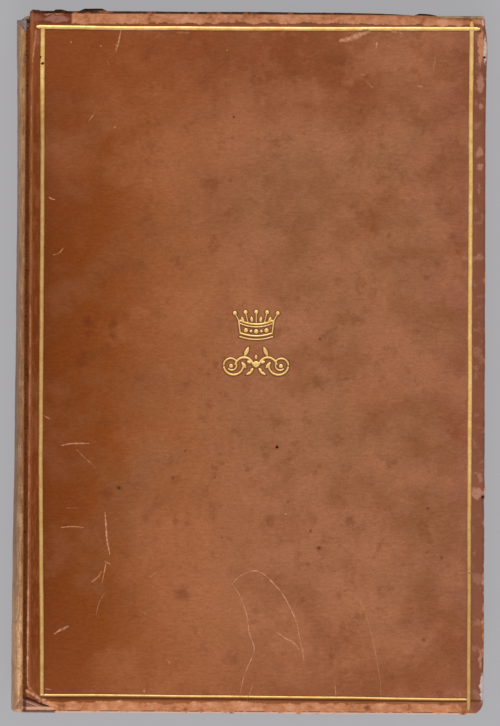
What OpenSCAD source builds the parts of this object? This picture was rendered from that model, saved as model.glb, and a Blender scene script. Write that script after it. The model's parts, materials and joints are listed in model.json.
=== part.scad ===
// Antique octavo book in full calf, closed and lying on its back cover.
// X runs from the spine to the fore edge, Y from the tail to the head, Z up to the front cover.
// The origin is the middle of the footprint, on the surface that the book lies on.

/* [Leaves] */
// Height of the trimmed leaves
page_h = 191.3; // [150:0.1:260]
// Width of the trimmed leaves
page_w = 126; // [95:0.5:190]
// Thickness of the sewn leaves
block_t = 22; // [12:0.5:45]
// Depth of the hollow that rounding gives the fore edge
fore_hollow = 2.2; // [0.8:0.1:4]
// Thickness of a free endpaper
flyleaf_t = 0.15; // [0.1:0.01:0.3]

/* [Boards] */
// Thickness of the pasteboards
board_t = 2.5; // [1.5:0.1:4]
// How far the covers reach past the leaves
board_square = 3.25; // [2:0.05:6]
// Distance of the board's spine edge from the joint line
board_set = 0.6; // [0.4:0.05:1.5]
// Rounding of the board's own edges
board_edge_r = 0.3; // [0.1:0.05:0.6]

/* [Leather] */
// Thickness of the leather on the outer faces
leather_t = 0.7; // [0.5:0.05:1.2]
// Thickness of the leather round the board's edges
edge_t = 0.6; // [0.4:0.05:1]
// Thickness of the pared turn-ins
turn_in_t = 0.5; // [0.3:0.05:0.8]
// Width of the turn-ins on the inner faces
turn_in_w = 12; // [8:0.5:18]
// Width of the mitred seam where two turn-ins meet
mitre_w = 0.2; // [0.1:0.05:0.5]
// Rounding that wear gave the outer edges
edge_r = 0.9; // [0.5:0.05:1.2]
// Rounding of the ridge beside the joint
ridge_r = 0.35; // [0.1:0.05:0.5]

/* [Spine] */
// How far the rounded spine stands out from the joint line
spine_bulge = 3.4; // [3:0.1:6]
// Radius of the leather over the shoulders
shoulder_r = 2; // [1.6:0.05:3]
// Thickness of the paper lining on the spine folds
lining_t = 0.5; // [0.2:0.05:0.6]
// How far the folded cap at the tail reaches over the tailband
cap_reach = 3.1; // [1.5:0.1:4]

/* [Joints] */
// Depth of the hinge lines below the outer faces
hinge_depth = 0.2; // [0.1:0.01:0.3]
// Clearance between the spine and a cover that is laid right open
laid_gap = 0.3; // [0.2:0.05:0.6]
// Clearance between the joint line and the leather of a cover
joint_gap = 0.25; // [0.2:0.01:0.35]
// Clearance between a pastedown and the endpaper that faces it
opening_gap = 0.2; // [0.1:0.01:0.5]

/* [Pastedowns] */
// Thickness of the endpaper pasted to a board
pastedown_t = 0.15; // [0.1:0.01:0.3]
// Width of the turn-in left showing round a pastedown
turn_in_show = 3.25; // [2:0.05:7]

/* [Sewing] */
// Number of cords sunk in the spine folds
cord_count = 5; // [3:1:6]
// Width of the saw cut that holds a cord
cord_w = 2.2; // [1.5:0.1:3]
// Depth of that saw cut
cord_depth = 1.5; // [1:0.1:2]
// Distance of a cord's ends from the outermost leaves
cord_end = 1; // [0.5:0.1:3]
// Distance of the end cords from the head and the tail of the leaves
cord_margin = 22; // [14:1:40]
// Length of a cord's frayed end on the board
slip_l = 11; // [7:0.5:16]
// Width of a frayed end
slip_w = 4.5; // [3:0.1:7]
// Depth that the frayed ends are let into the board
slip_t = 0.4; // [0.2:0.05:0.7]

/* [Endbands] */
// Diameter of the silk-covered core
band_d = 2.2; // [1.4:0.1:2.6]
// Clearance between the core and the spine folds' outer face
band_set = 0.15; // [0.1:0.05:0.5]

/* [Gilding] */
// Thickness of the gold
gold_t = 0.08; // [0.05:0.01:0.12]
// Width of the single fillet
fillet_w = 1.3; // [0.8:0.05:2]
// Depth to which the fillet is pressed
fillet_depth = 0.25; // [0.15:0.01:0.4]
// Middle of the head fillet from the head edge
fillet_head = 4; // [2.5:0.05:9]
// Middle of the tail fillet from the tail edge
fillet_tail = 4.5; // [2.5:0.05:9]
// Middle of the fore-edge fillet from the fore edge
fillet_fore = 4.25; // [2.5:0.05:9]
// Middle of the spine-side fillet from the joint line
fillet_spine = 4.1; // [2.5:0.05:9]
// How far the head and fore-edge fillets run on past the crossing at head and spine side
run_on_start = 1.9; // [0:0.1:2]
// How far the head fillet runs on past the fore-edge one
run_on_fore = 2.8; // [0:0.1:3]
// How far the fore-edge fillet runs on past the tail one
run_on_tail = 3.3; // [0:0.1:3.5]

/* [Stamps] */
// Width of the coronet over its outer pearls
coronet_w = 12.7; // [8:0.1:25]
// Width of the scroll under the coronet
scroll_w = 18.8; // [10:0.1:30]
// Height of the coronet's foot above the middle of the cover
coronet_y = 6.1; // [-20:0.1:40]
// Drop from the coronet's foot to the middle of the scroll
scroll_drop = 6.4; // [4.5:0.1:12]
// Depth to which the stamps are pressed
stamp_depth = 0.16; // [0.12:0.01:0.3]

/* [Wear] */
// Radius of the knocked corner at tail and fore edge
knocked_r = 3.8; // [1.5:0.1:6]
// Radius of the sound corner at head and fore edge
sound_r = 1.1; // [1:0.1:3]
// Length of spine leather lost at the head
cap_loss = 1.9; // [1:0.1:3]
// Further length torn away beside the front joint
tear_l = 3.3; // [1:0.1:8]
// Length of leather torn from the front cover's tail corner
torn_corner = 9; // [4:0.5:14]

/* [Hidden] */
$fn = 96;

// Overlap of cutting bodies past the face that they cut
past = 1;
// Overlap of the flat leaves with the rounded folds in the section
leaf_lap = 0.3;
// How far the shoulder arcs cross the large arc of the spine, so that they meet in a clean edge
arc_lap = 0.005;

// Levels through the front cover, counted inwards from its outer face
board_out = leather_t;
board_in = board_out + board_t;
turn_in = board_in + turn_in_t;
paste_in = turn_in + pastedown_t;
flyleaf_out = paste_in + opening_gap;
block_out = flyleaf_out + flyleaf_t;

thickness = 2 * block_out + block_t;
mid_z = thickness / 2;
cover_h = page_h + 2 * board_square;
cover_x = page_w + board_square;
middle_x = (cover_x - spine_bulge) / 2;
half_h = cover_h / 2;
half_page = page_h / 2;

// The spine leather starts low enough for a cover turned half round on its hinge line
joint_step = 2 * hinge_depth + laid_gap;

// The spine is a large arc between two small ones, which round the shoulders
corner_h = mid_z - joint_step - shoulder_r;
spine_r = (corner_h * corner_h + spine_bulge * spine_bulge - shoulder_r * shoulder_r)
    / (2 * (spine_bulge - shoulder_r));
spine_cx = spine_r - spine_bulge;

// Depths below the leather's outer face on the spine
lining_in = leather_t;
folds_in = leather_t + lining_t;
band_r = spine_r - folds_in - band_set - band_d / 2;
band_a = asin((block_t / 2 - band_d / 4) / band_r);

hollow_r = (pow(block_t / 2, 2) + pow(fore_hollow, 2)) / (2 * fore_hollow);
cord_pitch = (page_h - 2 * cord_margin) / (cord_count - 1);

// Places a flat outline drawn in X and Z along the whole height, from y0 to y1
module along_y(y0, y1) {
    translate([0, y1, 0]) rotate([90, 0, 0]) linear_extrude(y1 - y0) children();
}

// Places a flat outline drawn in Y and Z across the width, from x0 to x1
module along_x(x0, x1) {
    translate([x0, 0, 0]) rotate([90, 0, 90]) linear_extrude(x1 - x0) children();
}

// Places a flat outline drawn in X and Y between two levels
module up_z(z0, z1) {
    translate([0, 0, z0]) linear_extrude(z1 - z0) children();
}

// Rectangle from corner a to corner b
module plate(a, b) {
    translate(a) square(b - a);
}

// Rectangle with all four corners rounded
module rounded_plate(a, b, r) {
    for (x = [a[0] + r, b[0] - r], y = [a[1] + r, b[1] - r]) translate([x, y]) circle(r);
    plate([a[0] + r, a[1]], [b[0] - r, b[1]]);
    plate([a[0], a[1] + r], [b[0], b[1] - r]);
}

// Ring of width w with its middle at radius r, kept between two angles less than 180 apart
module arc_band(r, w, a0, a1) {
    reach = 2 * (r + w);
    mid_a = (a0 + a1) / 2;
    intersection() {
        difference() {
            circle(r + w / 2);
            circle(r - w / 2);
        }
        polygon([[0, 0], reach * [cos(a0), sin(a0)], reach * [cos(mid_a), sin(mid_a)],
                 reach * [cos(a1), sin(a1)]]);
    }
}

// Pointed leaf that stands on the origin
module leaf(w, h) {
    r = (h * h / 4 + w * w / 4) / w;
    translate([0, h / 2]) intersection_for (s = [-1, 1]) translate([s * (r - w / 2), 0]) circle(r);
}

// Mirrors a front piece to the back of the book
module on_back() {
    translate([0, 0, thickness]) mirror([0, 0, 1]) children();
}

// Moves the drawing frame, whose X starts at the joint line, to the middle of the footprint
module placed() {
    translate([-middle_x, 0, 0]) children();
}

// Outline of everything left of the joint line, at a depth below the spine leather
module spine_fill(depth) {
    intersection() {
        union() {
            intersection() {
                translate([spine_cx, mid_z]) circle(spine_r - depth);
                polygon([[spine_cx, mid_z], [-spine_cx, mid_z + 2 * corner_h],
                         [-spine_cx, mid_z - 2 * corner_h]]);
            }
            for (s = [-1, 1]) translate([0, mid_z + s * corner_h]) circle(shoulder_r + arc_lap - depth);
        }
        plate([-spine_bulge - past, 0], [0, thickness]);
    }
}

// Section through the leaves: shoulders and rounded folds, flat sides, hollow fore edge
module block_section() {
    difference() {
        union() {
            spine_fill(folds_in);
            plate([-leaf_lap, block_out], [page_w, thickness - block_out]);
        }
        translate([page_w + hollow_r - fore_hollow, mid_z]) circle(hollow_r);
    }
}

// Section of a cord between the two shoulders, standing out from the folds by an amount
module cord_section(proud) {
    intersection() {
        difference() {
            translate([spine_cx, mid_z]) circle(spine_r - folds_in + proud);
            translate([spine_cx, mid_z]) circle(spine_r - folds_in - cord_depth);
        }
        plate([-spine_bulge - past, block_out + cord_end], [past, thickness - block_out - cord_end]);
    }
}

function cord_y(i) = half_page - cord_margin - (i - 1) * cord_pitch;

// Plan of a cover, drawn in from its edges, with worn fore-edge corners
module cover_plan(x0, inset) {
    difference() {
        plate([x0, inset - half_h], [cover_x - inset, half_h - inset]);
        worn_corner(max(knocked_r - inset, inset), -1, inset);
        worn_corner(max(sound_r - inset, inset / 2), 1, inset);
    }
}

module worn_corner(r, side, inset) {
    translate([cover_x - inset - r, side * (half_h - inset - r)]) difference() {
        plate([0, side > 0 ? 0 : -r - past], [r + past, side > 0 ? r + past : 0]);
        circle(r);
    }
}

// Solid of a front cover layer between two depths, with all long edges rounded
module cover_layer(x0, inset, depth0, depth1, r, spine_r0) {
    z0 = thickness - depth1;
    z1 = thickness - depth0;
    x1 = cover_x - inset;
    y1 = half_h - inset;
    intersection() {
        up_z(z0, z1) cover_plan(x0, inset);
        along_x(x0 - past, x1 + past) rounded_plate([-y1, z0], [y1, z1], r);
        along_y(-y1 - past, y1 + past) {
            rounded_plate([x0, z0], [x1, z1], spine_r0);
            rounded_plate([x0 + r, z0], [x1, z1], r);
        }
    }
}

// What wear tore from the tail corner beside the joint, seen from above
module torn_outline(l) {
    polygon([[-past, -half_h - past], [-past, l * 0.42 - half_h], [l * 0.2, l * 0.4 - half_h],
             [l * 0.45, l * 0.25 - half_h], [l * 0.75, l * 0.16 - half_h], [l, -half_h - past]]);
}

// Four fillets: the head and fore-edge ones run on past their crossings, the others stop there
module fillet_outline() {
    w = fillet_w / 2;
    left = fillet_spine;
    right = cover_x - fillet_fore;
    top = half_h - fillet_head;
    bottom = fillet_tail - half_h;
    plate([left - w, bottom], [left + w, top + w / 2]);
    plate([right - w, bottom - run_on_tail], [right + w, top + run_on_start]);
    plate([left - run_on_start, top - w], [right + run_on_fore, top + w]);
    plate([left - w, bottom - w], [right, bottom + w]);
}

// Coronet of five pearls on rays, with small leaves between, over a jewelled circlet
module coronet_outline() {
    u = coronet_w / 12.7;
    scale(u) {
        for (i = [-2:2]) {
            lean = -14 * i;
            translate([2.3 * i, 5.3]) rotate(lean) {
                plate([-0.16, 0], [0.16, 2.9]);
                translate([0, 3.1]) circle(0.56);
            }
        }
        for (i = [-1.5:1:1.5]) translate([2.35 * i, 5.4]) rotate(-14 * i) leaf(0.85, 1.75);
        translate([0, 15.3]) arc_band(10.4, 0.5, 243, 297);
        translate([0, 15.3]) arc_band(11.15, 0.35, 245.5, 294.5);
        translate([0, 14.2]) arc_band(12.6, 0.45, 249.5, 290.5);
        translate([0, 14.2]) arc_band(13.6, 0.35, 249.5, 290.5);
        for (i = [-1:1]) translate([2.9 * i, 2.85 + 0.32 * i * i]) rotate(13 * i) circle(0.62);
        for (i = [-0.5, 0.5]) translate([2.9 * i, 2.95]) rotate(45 + 13 * i) square(0.72, center = true);
        for (s = [-1, 1]) translate([4.45 * s, 2.1]) rotate(-8 * s) plate([-0.2, 0], [0.2, 3.8]);
    }
}

// Pair of mirrored volutes that spring from a small flower
module scroll_outline() {
    u = scroll_w / 17.5;
    scale(u) {
        for (s = [0, 1]) mirror([s, 0]) {
            translate([3.1, -0.6]) arc_band(2.4, 0.55, 10, 170);
            translate([5.9, -0.15]) arc_band(2.6, 0.5, 185, 350);
            translate([6.65, -0.3]) arc_band(1.85, 0.45, 0, 150);
            translate([6.35, -0.3]) arc_band(1.25, 0.4, 150, 320);
            translate([6.55, -0.45]) circle(0.55);
            translate([2.5, -1.1]) rotate(-38) leaf(0.9, 2.2);
            translate([3.1, 2.0]) rotate(24) leaf(1, 2.9);
            translate([1.0, -1.9]) rotate(-118) leaf(0.7, 1.9);
        }
        circle(0.85);
        for (a = [0:72:288]) rotate(a) translate([0, 1.25]) leaf(0.8, 1.3);
    }
}

module coronet_place() {
    translate([cover_x / 2, coronet_y]) children();
}

module scroll_place() {
    translate([cover_x / 2, coronet_y - scroll_drop]) children();
}

// Gold leaf on the floor of its impression
module gold_film(depth) {
    up_z(thickness - depth, thickness - depth + gold_t) children();
}

module text_block() {
    color("#d8c6a0") placed() difference() {
        along_y(-half_page, half_page) block_section();
        for (i = [1:cord_count]) cord_at(i, past);
    }
}

module cord_at(i, proud) {
    along_y(cord_y(i) - cord_w / 2, cord_y(i) + cord_w / 2) cord_section(proud);
}

module sewing_cord(i) {
    color("#b79b6c") placed() cord_at(i, 0);
}

module flyleaf() {
    along_y(-half_page, half_page)
        plate([0, thickness - block_out], [page_w, thickness - flyleaf_out]);
}

module front_flyleaf() {
    color("#e4d6b4") placed() flyleaf();
}

module back_flyleaf() {
    color("#e4d6b4") placed() on_back() flyleaf();
}

module spine_lining() {
    color("#9b8a74") placed() along_y(-half_page, half_page) difference() {
        spine_fill(lining_in);
        spine_fill(folds_in);
    }
}

// Silk-covered core that follows the folds on one end of the leaves
module endband() {
    translate([spine_cx, half_page + band_d / 2, mid_z]) rotate([90, 0, 0])
        rotate([0, 0, 180 - band_a]) rotate_extrude(angle = 2 * band_a)
            translate([band_r, 0]) circle(band_d / 2);
}

module headband() {
    color("#a58a5c") placed() endband();
}

module tailband() {
    color("#a58a5c") placed() mirror([0, 1, 0]) endband();
}

module spine_leather() {
    head_y = half_h - cap_loss;
    tear_z = thickness - joint_step - 2 * shoulder_r;
    color("#b08052") placed() difference() {
        union() {
            along_y(-half_h, head_y) difference() {
                spine_fill(0);
                spine_fill(leather_t);
            }
            along_y(-half_h, leather_t - half_h) difference() {
                spine_fill(0);
                translate([spine_cx, mid_z]) circle(spine_r - cap_reach);
            }
        }
        up_z(tear_z, thickness) {
            polygon([[-spine_bulge, head_y + past], [-spine_bulge, head_y],
                     [past, head_y - tear_l], [past, head_y + past]]);
            polygon([[-0.6 * spine_bulge, -half_h - past], [-0.7 * spine_bulge, 0.21 * torn_corner - half_h],
                     [-0.5 * spine_bulge, 0.42 * torn_corner - half_h],
                     [past, 0.5 * torn_corner - half_h], [past, -half_h - past]]);
        }
    }
}

// Where the frayed cord ends lie on a board
module slips_plan() {
    for (i = [1:cord_count]) translate([board_set, cord_y(i)]) {
        plate([0, -slip_w / 2], [slip_l - slip_w / 2, slip_w / 2]);
        translate([slip_l - slip_w / 2, 0]) circle(slip_w / 2);
    }
}

module cord_slips() {
    up_z(thickness - board_out - slip_t, thickness - board_out) slips_plan();
}

module pasteboard() {
    difference() {
        cover_layer(board_set, edge_t, board_out, board_in, board_edge_r, board_edge_r);
        up_z(thickness - board_out - slip_t, thickness - board_out + past) slips_plan();
    }
}

// Leather of a cover: outer face, wrapped edges and turn-ins, open at the joint
module cover_leather() {
    window = turn_in_w;
    mitre_l = (turn_in_w - max(knocked_r, sound_r)) * sqrt(2);
    difference() {
        cover_layer(joint_gap, 0, 0, turn_in, edge_r, ridge_r);
        cover_layer(-cover_x, edge_t, board_out, board_in, board_edge_r, board_edge_r);
        up_z(thickness - turn_in - past, thickness - board_in + turn_in_t / 4)
            plate([-past, window - half_h], [cover_x - window, half_h - window]);
        up_z(thickness - turn_in - past, thickness - board_in) for (side = [-1, 1])
            translate([cover_x - window, side * (half_h - window)]) rotate(45 * side)
                plate([-past, -mitre_w / 2], [mitre_l, mitre_w / 2]);
        up_z(thickness - fillet_depth, thickness + past) fillet_outline();
    }
}

// Endpaper pasted over the board and onto the turn-ins, with the step that they make
module pastedown() {
    step = turn_in_w + pastedown_t;
    z_in = thickness - paste_in;
    difference() {
        union() {
            up_z(z_in, thickness - turn_in)
                plate([board_set, turn_in_show - half_h], [cover_x - turn_in_show, half_h - turn_in_show]);
            up_z(z_in, thickness - board_in)
                plate([board_set, turn_in_w - half_h], [cover_x - turn_in_w, half_h - turn_in_w]);
        }
        up_z(z_in - past, thickness - board_in - pastedown_t)
            plate([-past, step - half_h], [cover_x - step, half_h - step]);
    }
}

module front_board() {
    color("#a8906c") placed() difference() {
        pasteboard();
        up_z(0, thickness) torn_outline(torn_corner / 3);
    }
}

module front_cord_slips() {
    color("#b79b6c") placed() cord_slips();
}

module front_leather() {
    color("#8f5433") placed() difference() {
        cover_leather();
        up_z(thickness - board_out - board_t / 2, thickness + past) torn_outline(torn_corner);
        up_z(thickness - stamp_depth, thickness + past) {
            coronet_place() coronet_outline();
            scroll_place() scroll_outline();
        }
    }
}

module front_pastedown() {
    color("#dccca6") placed() pastedown();
}

module front_gilt_border() {
    color("#d9b266") placed() gold_film(fillet_depth) fillet_outline();
}

module gilt_coronet() {
    color("#c9974f") placed() gold_film(stamp_depth) coronet_place() coronet_outline();
}

module gilt_scroll() {
    color("#c9974f") placed() gold_film(stamp_depth) scroll_place() scroll_outline();
}

module back_board() {
    color("#a8906c") placed() on_back() pasteboard();
}

module back_cord_slips() {
    color("#b79b6c") placed() on_back() cord_slips();
}

module back_leather() {
    color("#86502f") placed() on_back() cover_leather();
}

module back_pastedown() {
    color("#dccca6") placed() on_back() pastedown();
}

module back_gilt_border() {
    color("#d9b266") placed() on_back() gold_film(fillet_depth) fillet_outline();
}

text_block();
front_flyleaf();
back_flyleaf();
for (i = [1:cord_count]) sewing_cord(i);
spine_lining();
headband();
tailband();
spine_leather();
front_board();
front_cord_slips();
front_leather();
front_pastedown();
front_gilt_border();
gilt_coronet();
gilt_scroll();
back_board();
back_cord_slips();
back_leather();
back_pastedown();
back_gilt_border();
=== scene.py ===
"""Looks of an antique octavo book in full calf, seen straight down on its front cover.

Lengths are in millimetres until a mesh is made. X runs from the spine to the fore edge,
Y from the tail to the head and Z up to the front cover, as in the frame. The front half of
the book is built as it lies, and the back half is its mirror image with less wear.
"""
import json
import math
import random

import bmesh
import bpy
import numpy as np
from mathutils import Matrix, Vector
from mathutils.bvhtree import BVHTree
from mathutils.kdtree import KDTree


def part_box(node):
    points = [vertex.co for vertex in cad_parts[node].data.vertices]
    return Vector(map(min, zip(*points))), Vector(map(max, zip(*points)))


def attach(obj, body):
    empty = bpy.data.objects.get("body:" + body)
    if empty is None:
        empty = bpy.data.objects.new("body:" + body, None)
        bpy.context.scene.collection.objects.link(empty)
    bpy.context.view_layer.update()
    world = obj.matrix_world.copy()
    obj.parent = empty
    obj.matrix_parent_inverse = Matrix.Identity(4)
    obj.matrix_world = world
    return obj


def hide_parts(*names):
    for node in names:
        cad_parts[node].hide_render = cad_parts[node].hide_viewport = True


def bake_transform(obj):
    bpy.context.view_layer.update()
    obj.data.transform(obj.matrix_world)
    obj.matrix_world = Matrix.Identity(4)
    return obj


MM = 0.001
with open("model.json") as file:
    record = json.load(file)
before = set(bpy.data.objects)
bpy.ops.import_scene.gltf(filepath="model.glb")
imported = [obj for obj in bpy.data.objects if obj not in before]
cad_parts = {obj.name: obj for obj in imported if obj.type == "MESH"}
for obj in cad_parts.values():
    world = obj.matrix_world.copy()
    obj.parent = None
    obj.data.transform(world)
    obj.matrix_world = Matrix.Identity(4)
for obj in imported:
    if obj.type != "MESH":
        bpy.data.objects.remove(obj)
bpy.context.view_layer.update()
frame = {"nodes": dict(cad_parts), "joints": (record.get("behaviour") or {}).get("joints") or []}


def box_mm(node):
    """Lowest and highest corner of a CAD node, in millimetres."""
    low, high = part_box(node)
    return np.array(low) / MM, np.array(high) / MM


# Levels and edges that the looks share with the solids
cover_low, cover_high = box_mm("front_leather")
board_low = box_mm("front_board")[0]
spine_low, spine_high = box_mm("spine_leather")
block_low, block_high = box_mm("text_block")
flyleaf_low, flyleaf_high = box_mm("front_flyleaf")
pastedown_low = box_mm("front_pastedown")[0]
border_low, border_high = box_mm("front_gilt_border")
coronet_low, coronet_high = box_mm("gilt_coronet")
scroll_low, scroll_high = box_mm("gilt_scroll")
headband_low, headband_high = box_mm("headband")
hinge = {joint["name"]: joint["pos_m"] for joint in frame["joints"]}

TOP = cover_high[2]
MID = TOP / 2
FORE = cover_high[0]
HEAD = cover_high[1]
TAIL = cover_low[1]
JOINT = hinge["front_joint"][0] / MM
COVER_W = FORE - JOINT
COVER_T = TOP - cover_low[2]
TURN_IN_T = board_low[2] - cover_low[2]
SPINE_OUT = JOINT - spine_low[0]
HEAD_LOSS = HEAD - spine_high[1]
STAMP_TOP = coronet_high[2]

# Leather: roundings of the cover's edge above and below, the spine's shoulder, the turn-ins, the knocked
# corner, and how far from the joint the face of the cover starts
EDGE_R = 0.9
UNDER_R = 0.5
SHOULDER_R = 2.0
SHOULDER_DROP = 0.7
TURN_IN_W = 12.0
KNOCKED_R = 3.8
RIDGE_X = 1.0
# Half the breadth of the skin's band to both sides of the joint, and the endpaper fold's band across the
# joint
BEND_HALF = 0.5
FOLD_BEND = (0.17, 0.42)

# Gilding: how far the fillets run on past their corners, their breadth and their depth
RUN_ON = {"start": 1.9, "fore": 2.8, "tail": 3.3}
FILLET_W = 1.3
FILLET_DEPTH = TOP - border_low[2]
GOLD_LIFT = 0.03
STAMP_RIM = STAMP_TOP - 0.07
STAMP_HOLLOW = 0.11

# The scan: millimetres a pixel, its middle pixel, the middle's Y on the book, and its turn
SCAN_PIXEL = 0.2822
SCAN_MIDDLE = (250.0, 363.0)
SCAN_Y = 0.07
SCAN_TURN = math.radians(0.3)


def on_book(px, py):
    """X and Y on the cover, in millimetres, of a pixel of the 500 by 726 scan."""
    u = (px - SCAN_MIDDLE[0]) * SCAN_PIXEL
    v = (SCAN_MIDDLE[1] - py) * SCAN_PIXEL
    c, s = math.cos(SCAN_TURN), math.sin(SCAN_TURN)
    return u * c - v * s, u * s + v * c + SCAN_Y


# Shapes of numbers
# Places closer than this are one, in millimetres
SAME_PLACE = 1e-6


def smooth(low, high, value):
    """Smooth step from 0 at low to 1 at high, for arrays too. low may be above high."""
    t = np.clip((value - low) / (high - low), 0, 1)
    return t * t * (3 - 2 * t)


def between(value, low, high, soft):
    """1 from low to high, falling to 0 over soft on both sides."""
    return smooth(low - soft, low, value) * smooth(high + soft, high, value)


class Ripple:
    """Smooth, repeatable noise along one line, from -1 to 1: a sum of sines with seeded phases."""

    def __init__(self, seed, longest, octaves=5, fall=0.6):
        dice = random.Random(seed)
        self.waves = [
            (2 ** k * dice.uniform(0.8, 1.2) / longest, dice.uniform(0, 1), fall ** k)
            for k in range(octaves)
        ]
        self.scale = 1 / sum(wave[2] for wave in self.waves)

    def __call__(self, t):
        return self.scale * sum(a * np.sin(2 * math.pi * (f * t + p)) for f, p, a in self.waves)


def spaced(low, high, step, zones=(), stops=()):
    """Places from low to high, step apart, or finer inside zones of (start, end, step)."""
    places = [low]
    marks = sorted([z[0] for z in zones] + [z[1] for z in zones] + list(stops))
    while places[-1] < high - SAME_PLACE:
        here = places[-1]
        inside = [z[2] for z in zones if z[0] - SAME_PLACE <= here < z[1] - SAME_PLACE]
        ahead = here + min(inside + [step])
        places.append(min([ahead, high] + [m for m in marks if here + SAME_PLACE < m < ahead]))
    return np.array(places)


def distinct(corners, points):
    """The corners of a face, less those that lie on the one before."""
    ring = [int(corners[0])]
    for k in corners[1:]:
        if np.abs(points[k] - points[ring[-1]]).max() > SAME_PLACE:
            ring.append(int(k))
    if np.abs(points[ring[0]] - points[ring[-1]]).max() <= SAME_PLACE:
        ring.pop()
    return ring


class Surface:
    """Collects points in millimetres, faces, and named numbers for each point, then makes a mesh."""

    def __init__(self):
        self.points, self.faces, self.numbers = [], [], {}
        self.count = 0

    def add(self, points, **numbers):
        """Adds an array of points of any shape and returns their indices in that shape."""
        points = np.asarray(points, float)
        shape = points.shape[:-1]
        size = int(np.prod(shape))
        for name, value in numbers.items():
            column = self.column(name)
            value = np.broadcast_to(value, shape).ravel()
            self.numbers[name] = np.concatenate([column, value])
        index = np.arange(self.count, self.count + size).reshape(shape)
        self.points.append(points.reshape(-1, 3))
        self.count += size
        return index

    def column(self, name):
        """The named numbers so far, with 0 for every point that has none."""
        column = self.numbers.get(name, np.zeros(0))
        return np.concatenate([column, np.zeros(self.count - len(column))])

    def grid(self, index, keep=None, flip=False):
        """Joins a two-way array of indices with four-sided faces, where keep allows it."""
        a, b, c, d = index[:-1, :-1], index[1:, :-1], index[1:, 1:], index[:-1, 1:]
        order = (a, d, c, b) if flip else (a, b, c, d)
        quads = np.stack([corner.ravel() for corner in order], axis=1)
        self.faces.append(quads if keep is None else quads[keep.ravel()])

    def face(self, ring):
        """One face through a ring of indices."""
        self.faces.append(np.array([ring]))

    def make(self, name, material, mirror=False, clouded=False):
        """The finished object. mirror turns a front piece into its twin at the back."""
        points = np.concatenate(self.points)
        rest = points.copy()
        if clouded:
            self.numbers.update(cloud_shares(points[:, 0], points[:, 1]))
        if mirror:
            points = points * [1, 1, -1] + [0, 0, TOP]
        rings = [distinct(corners, points) for part in self.faces for corners in part]
        faces = [ring[::-1] if mirror else ring for ring in rings if len(ring) > 2]
        mesh = bpy.data.meshes.new(name)
        mesh.from_pydata((points * MM).tolist(), [], faces)
        attribute = mesh.attributes.new("rest", "FLOAT_VECTOR", "POINT")
        attribute.data.foreach_set("vector", rest.astype(np.float32).ravel())
        for key in self.numbers:
            attribute = mesh.attributes.new(key, "FLOAT", "POINT")
            attribute.data.foreach_set("value", self.column(key).astype(np.float32))
        mesh.materials.append(material)
        mesh.polygons.foreach_set("use_smooth", [True] * len(mesh.polygons))
        mesh.update()
        obj = bpy.data.objects.new(name, mesh)
        bpy.context.scene.collection.objects.link(obj)
        return obj


# Materials

def srgb(r, g, b):
    """Linear colour of an 8-bit one."""
    return tuple(
        c / 255 / 12.92 if c / 255 <= 0.04045 else ((c / 255 + 0.055) / 1.055) ** 2.4
        for c in (r, g, b)
    ) + (1.0,)


class Value:
    """What comes out of a shader node. Sums and products of it add Math nodes."""

    def __init__(self, net, socket):
        self.net, self.socket = net, socket

    def __add__(self, other):
        return self.net.math("ADD", self, other)

    def __sub__(self, other):
        return self.net.math("SUBTRACT", self, other)

    def __rsub__(self, other):
        return self.net.math("SUBTRACT", other, self)

    def __mul__(self, other):
        return self.net.math("MULTIPLY", self, other)

    def __or__(self, other):
        return self.net.math("MAXIMUM", self, other)

    __radd__ = __add__


class Coat:
    """A colour that is built up in layers."""

    def __init__(self, net, color):
        self.net, self.color = net, color

    def lay(self, share, *tint):
        """Covers a share of it with an 8-bit colour, or with a colour that is made already."""
        top = srgb(*tint) if len(tint) == 3 else tint[0]
        self.color = self.net.mix(share, self.color, top)

    def brighten(self, factor):
        """Makes it a number of times as bright."""
        self.color = self.net.scale(self.color, factor)


# How far a seed moves a noise along X, Y and Z
SEED_SHIFT = (7.3, 3.1, 5.7)


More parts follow.
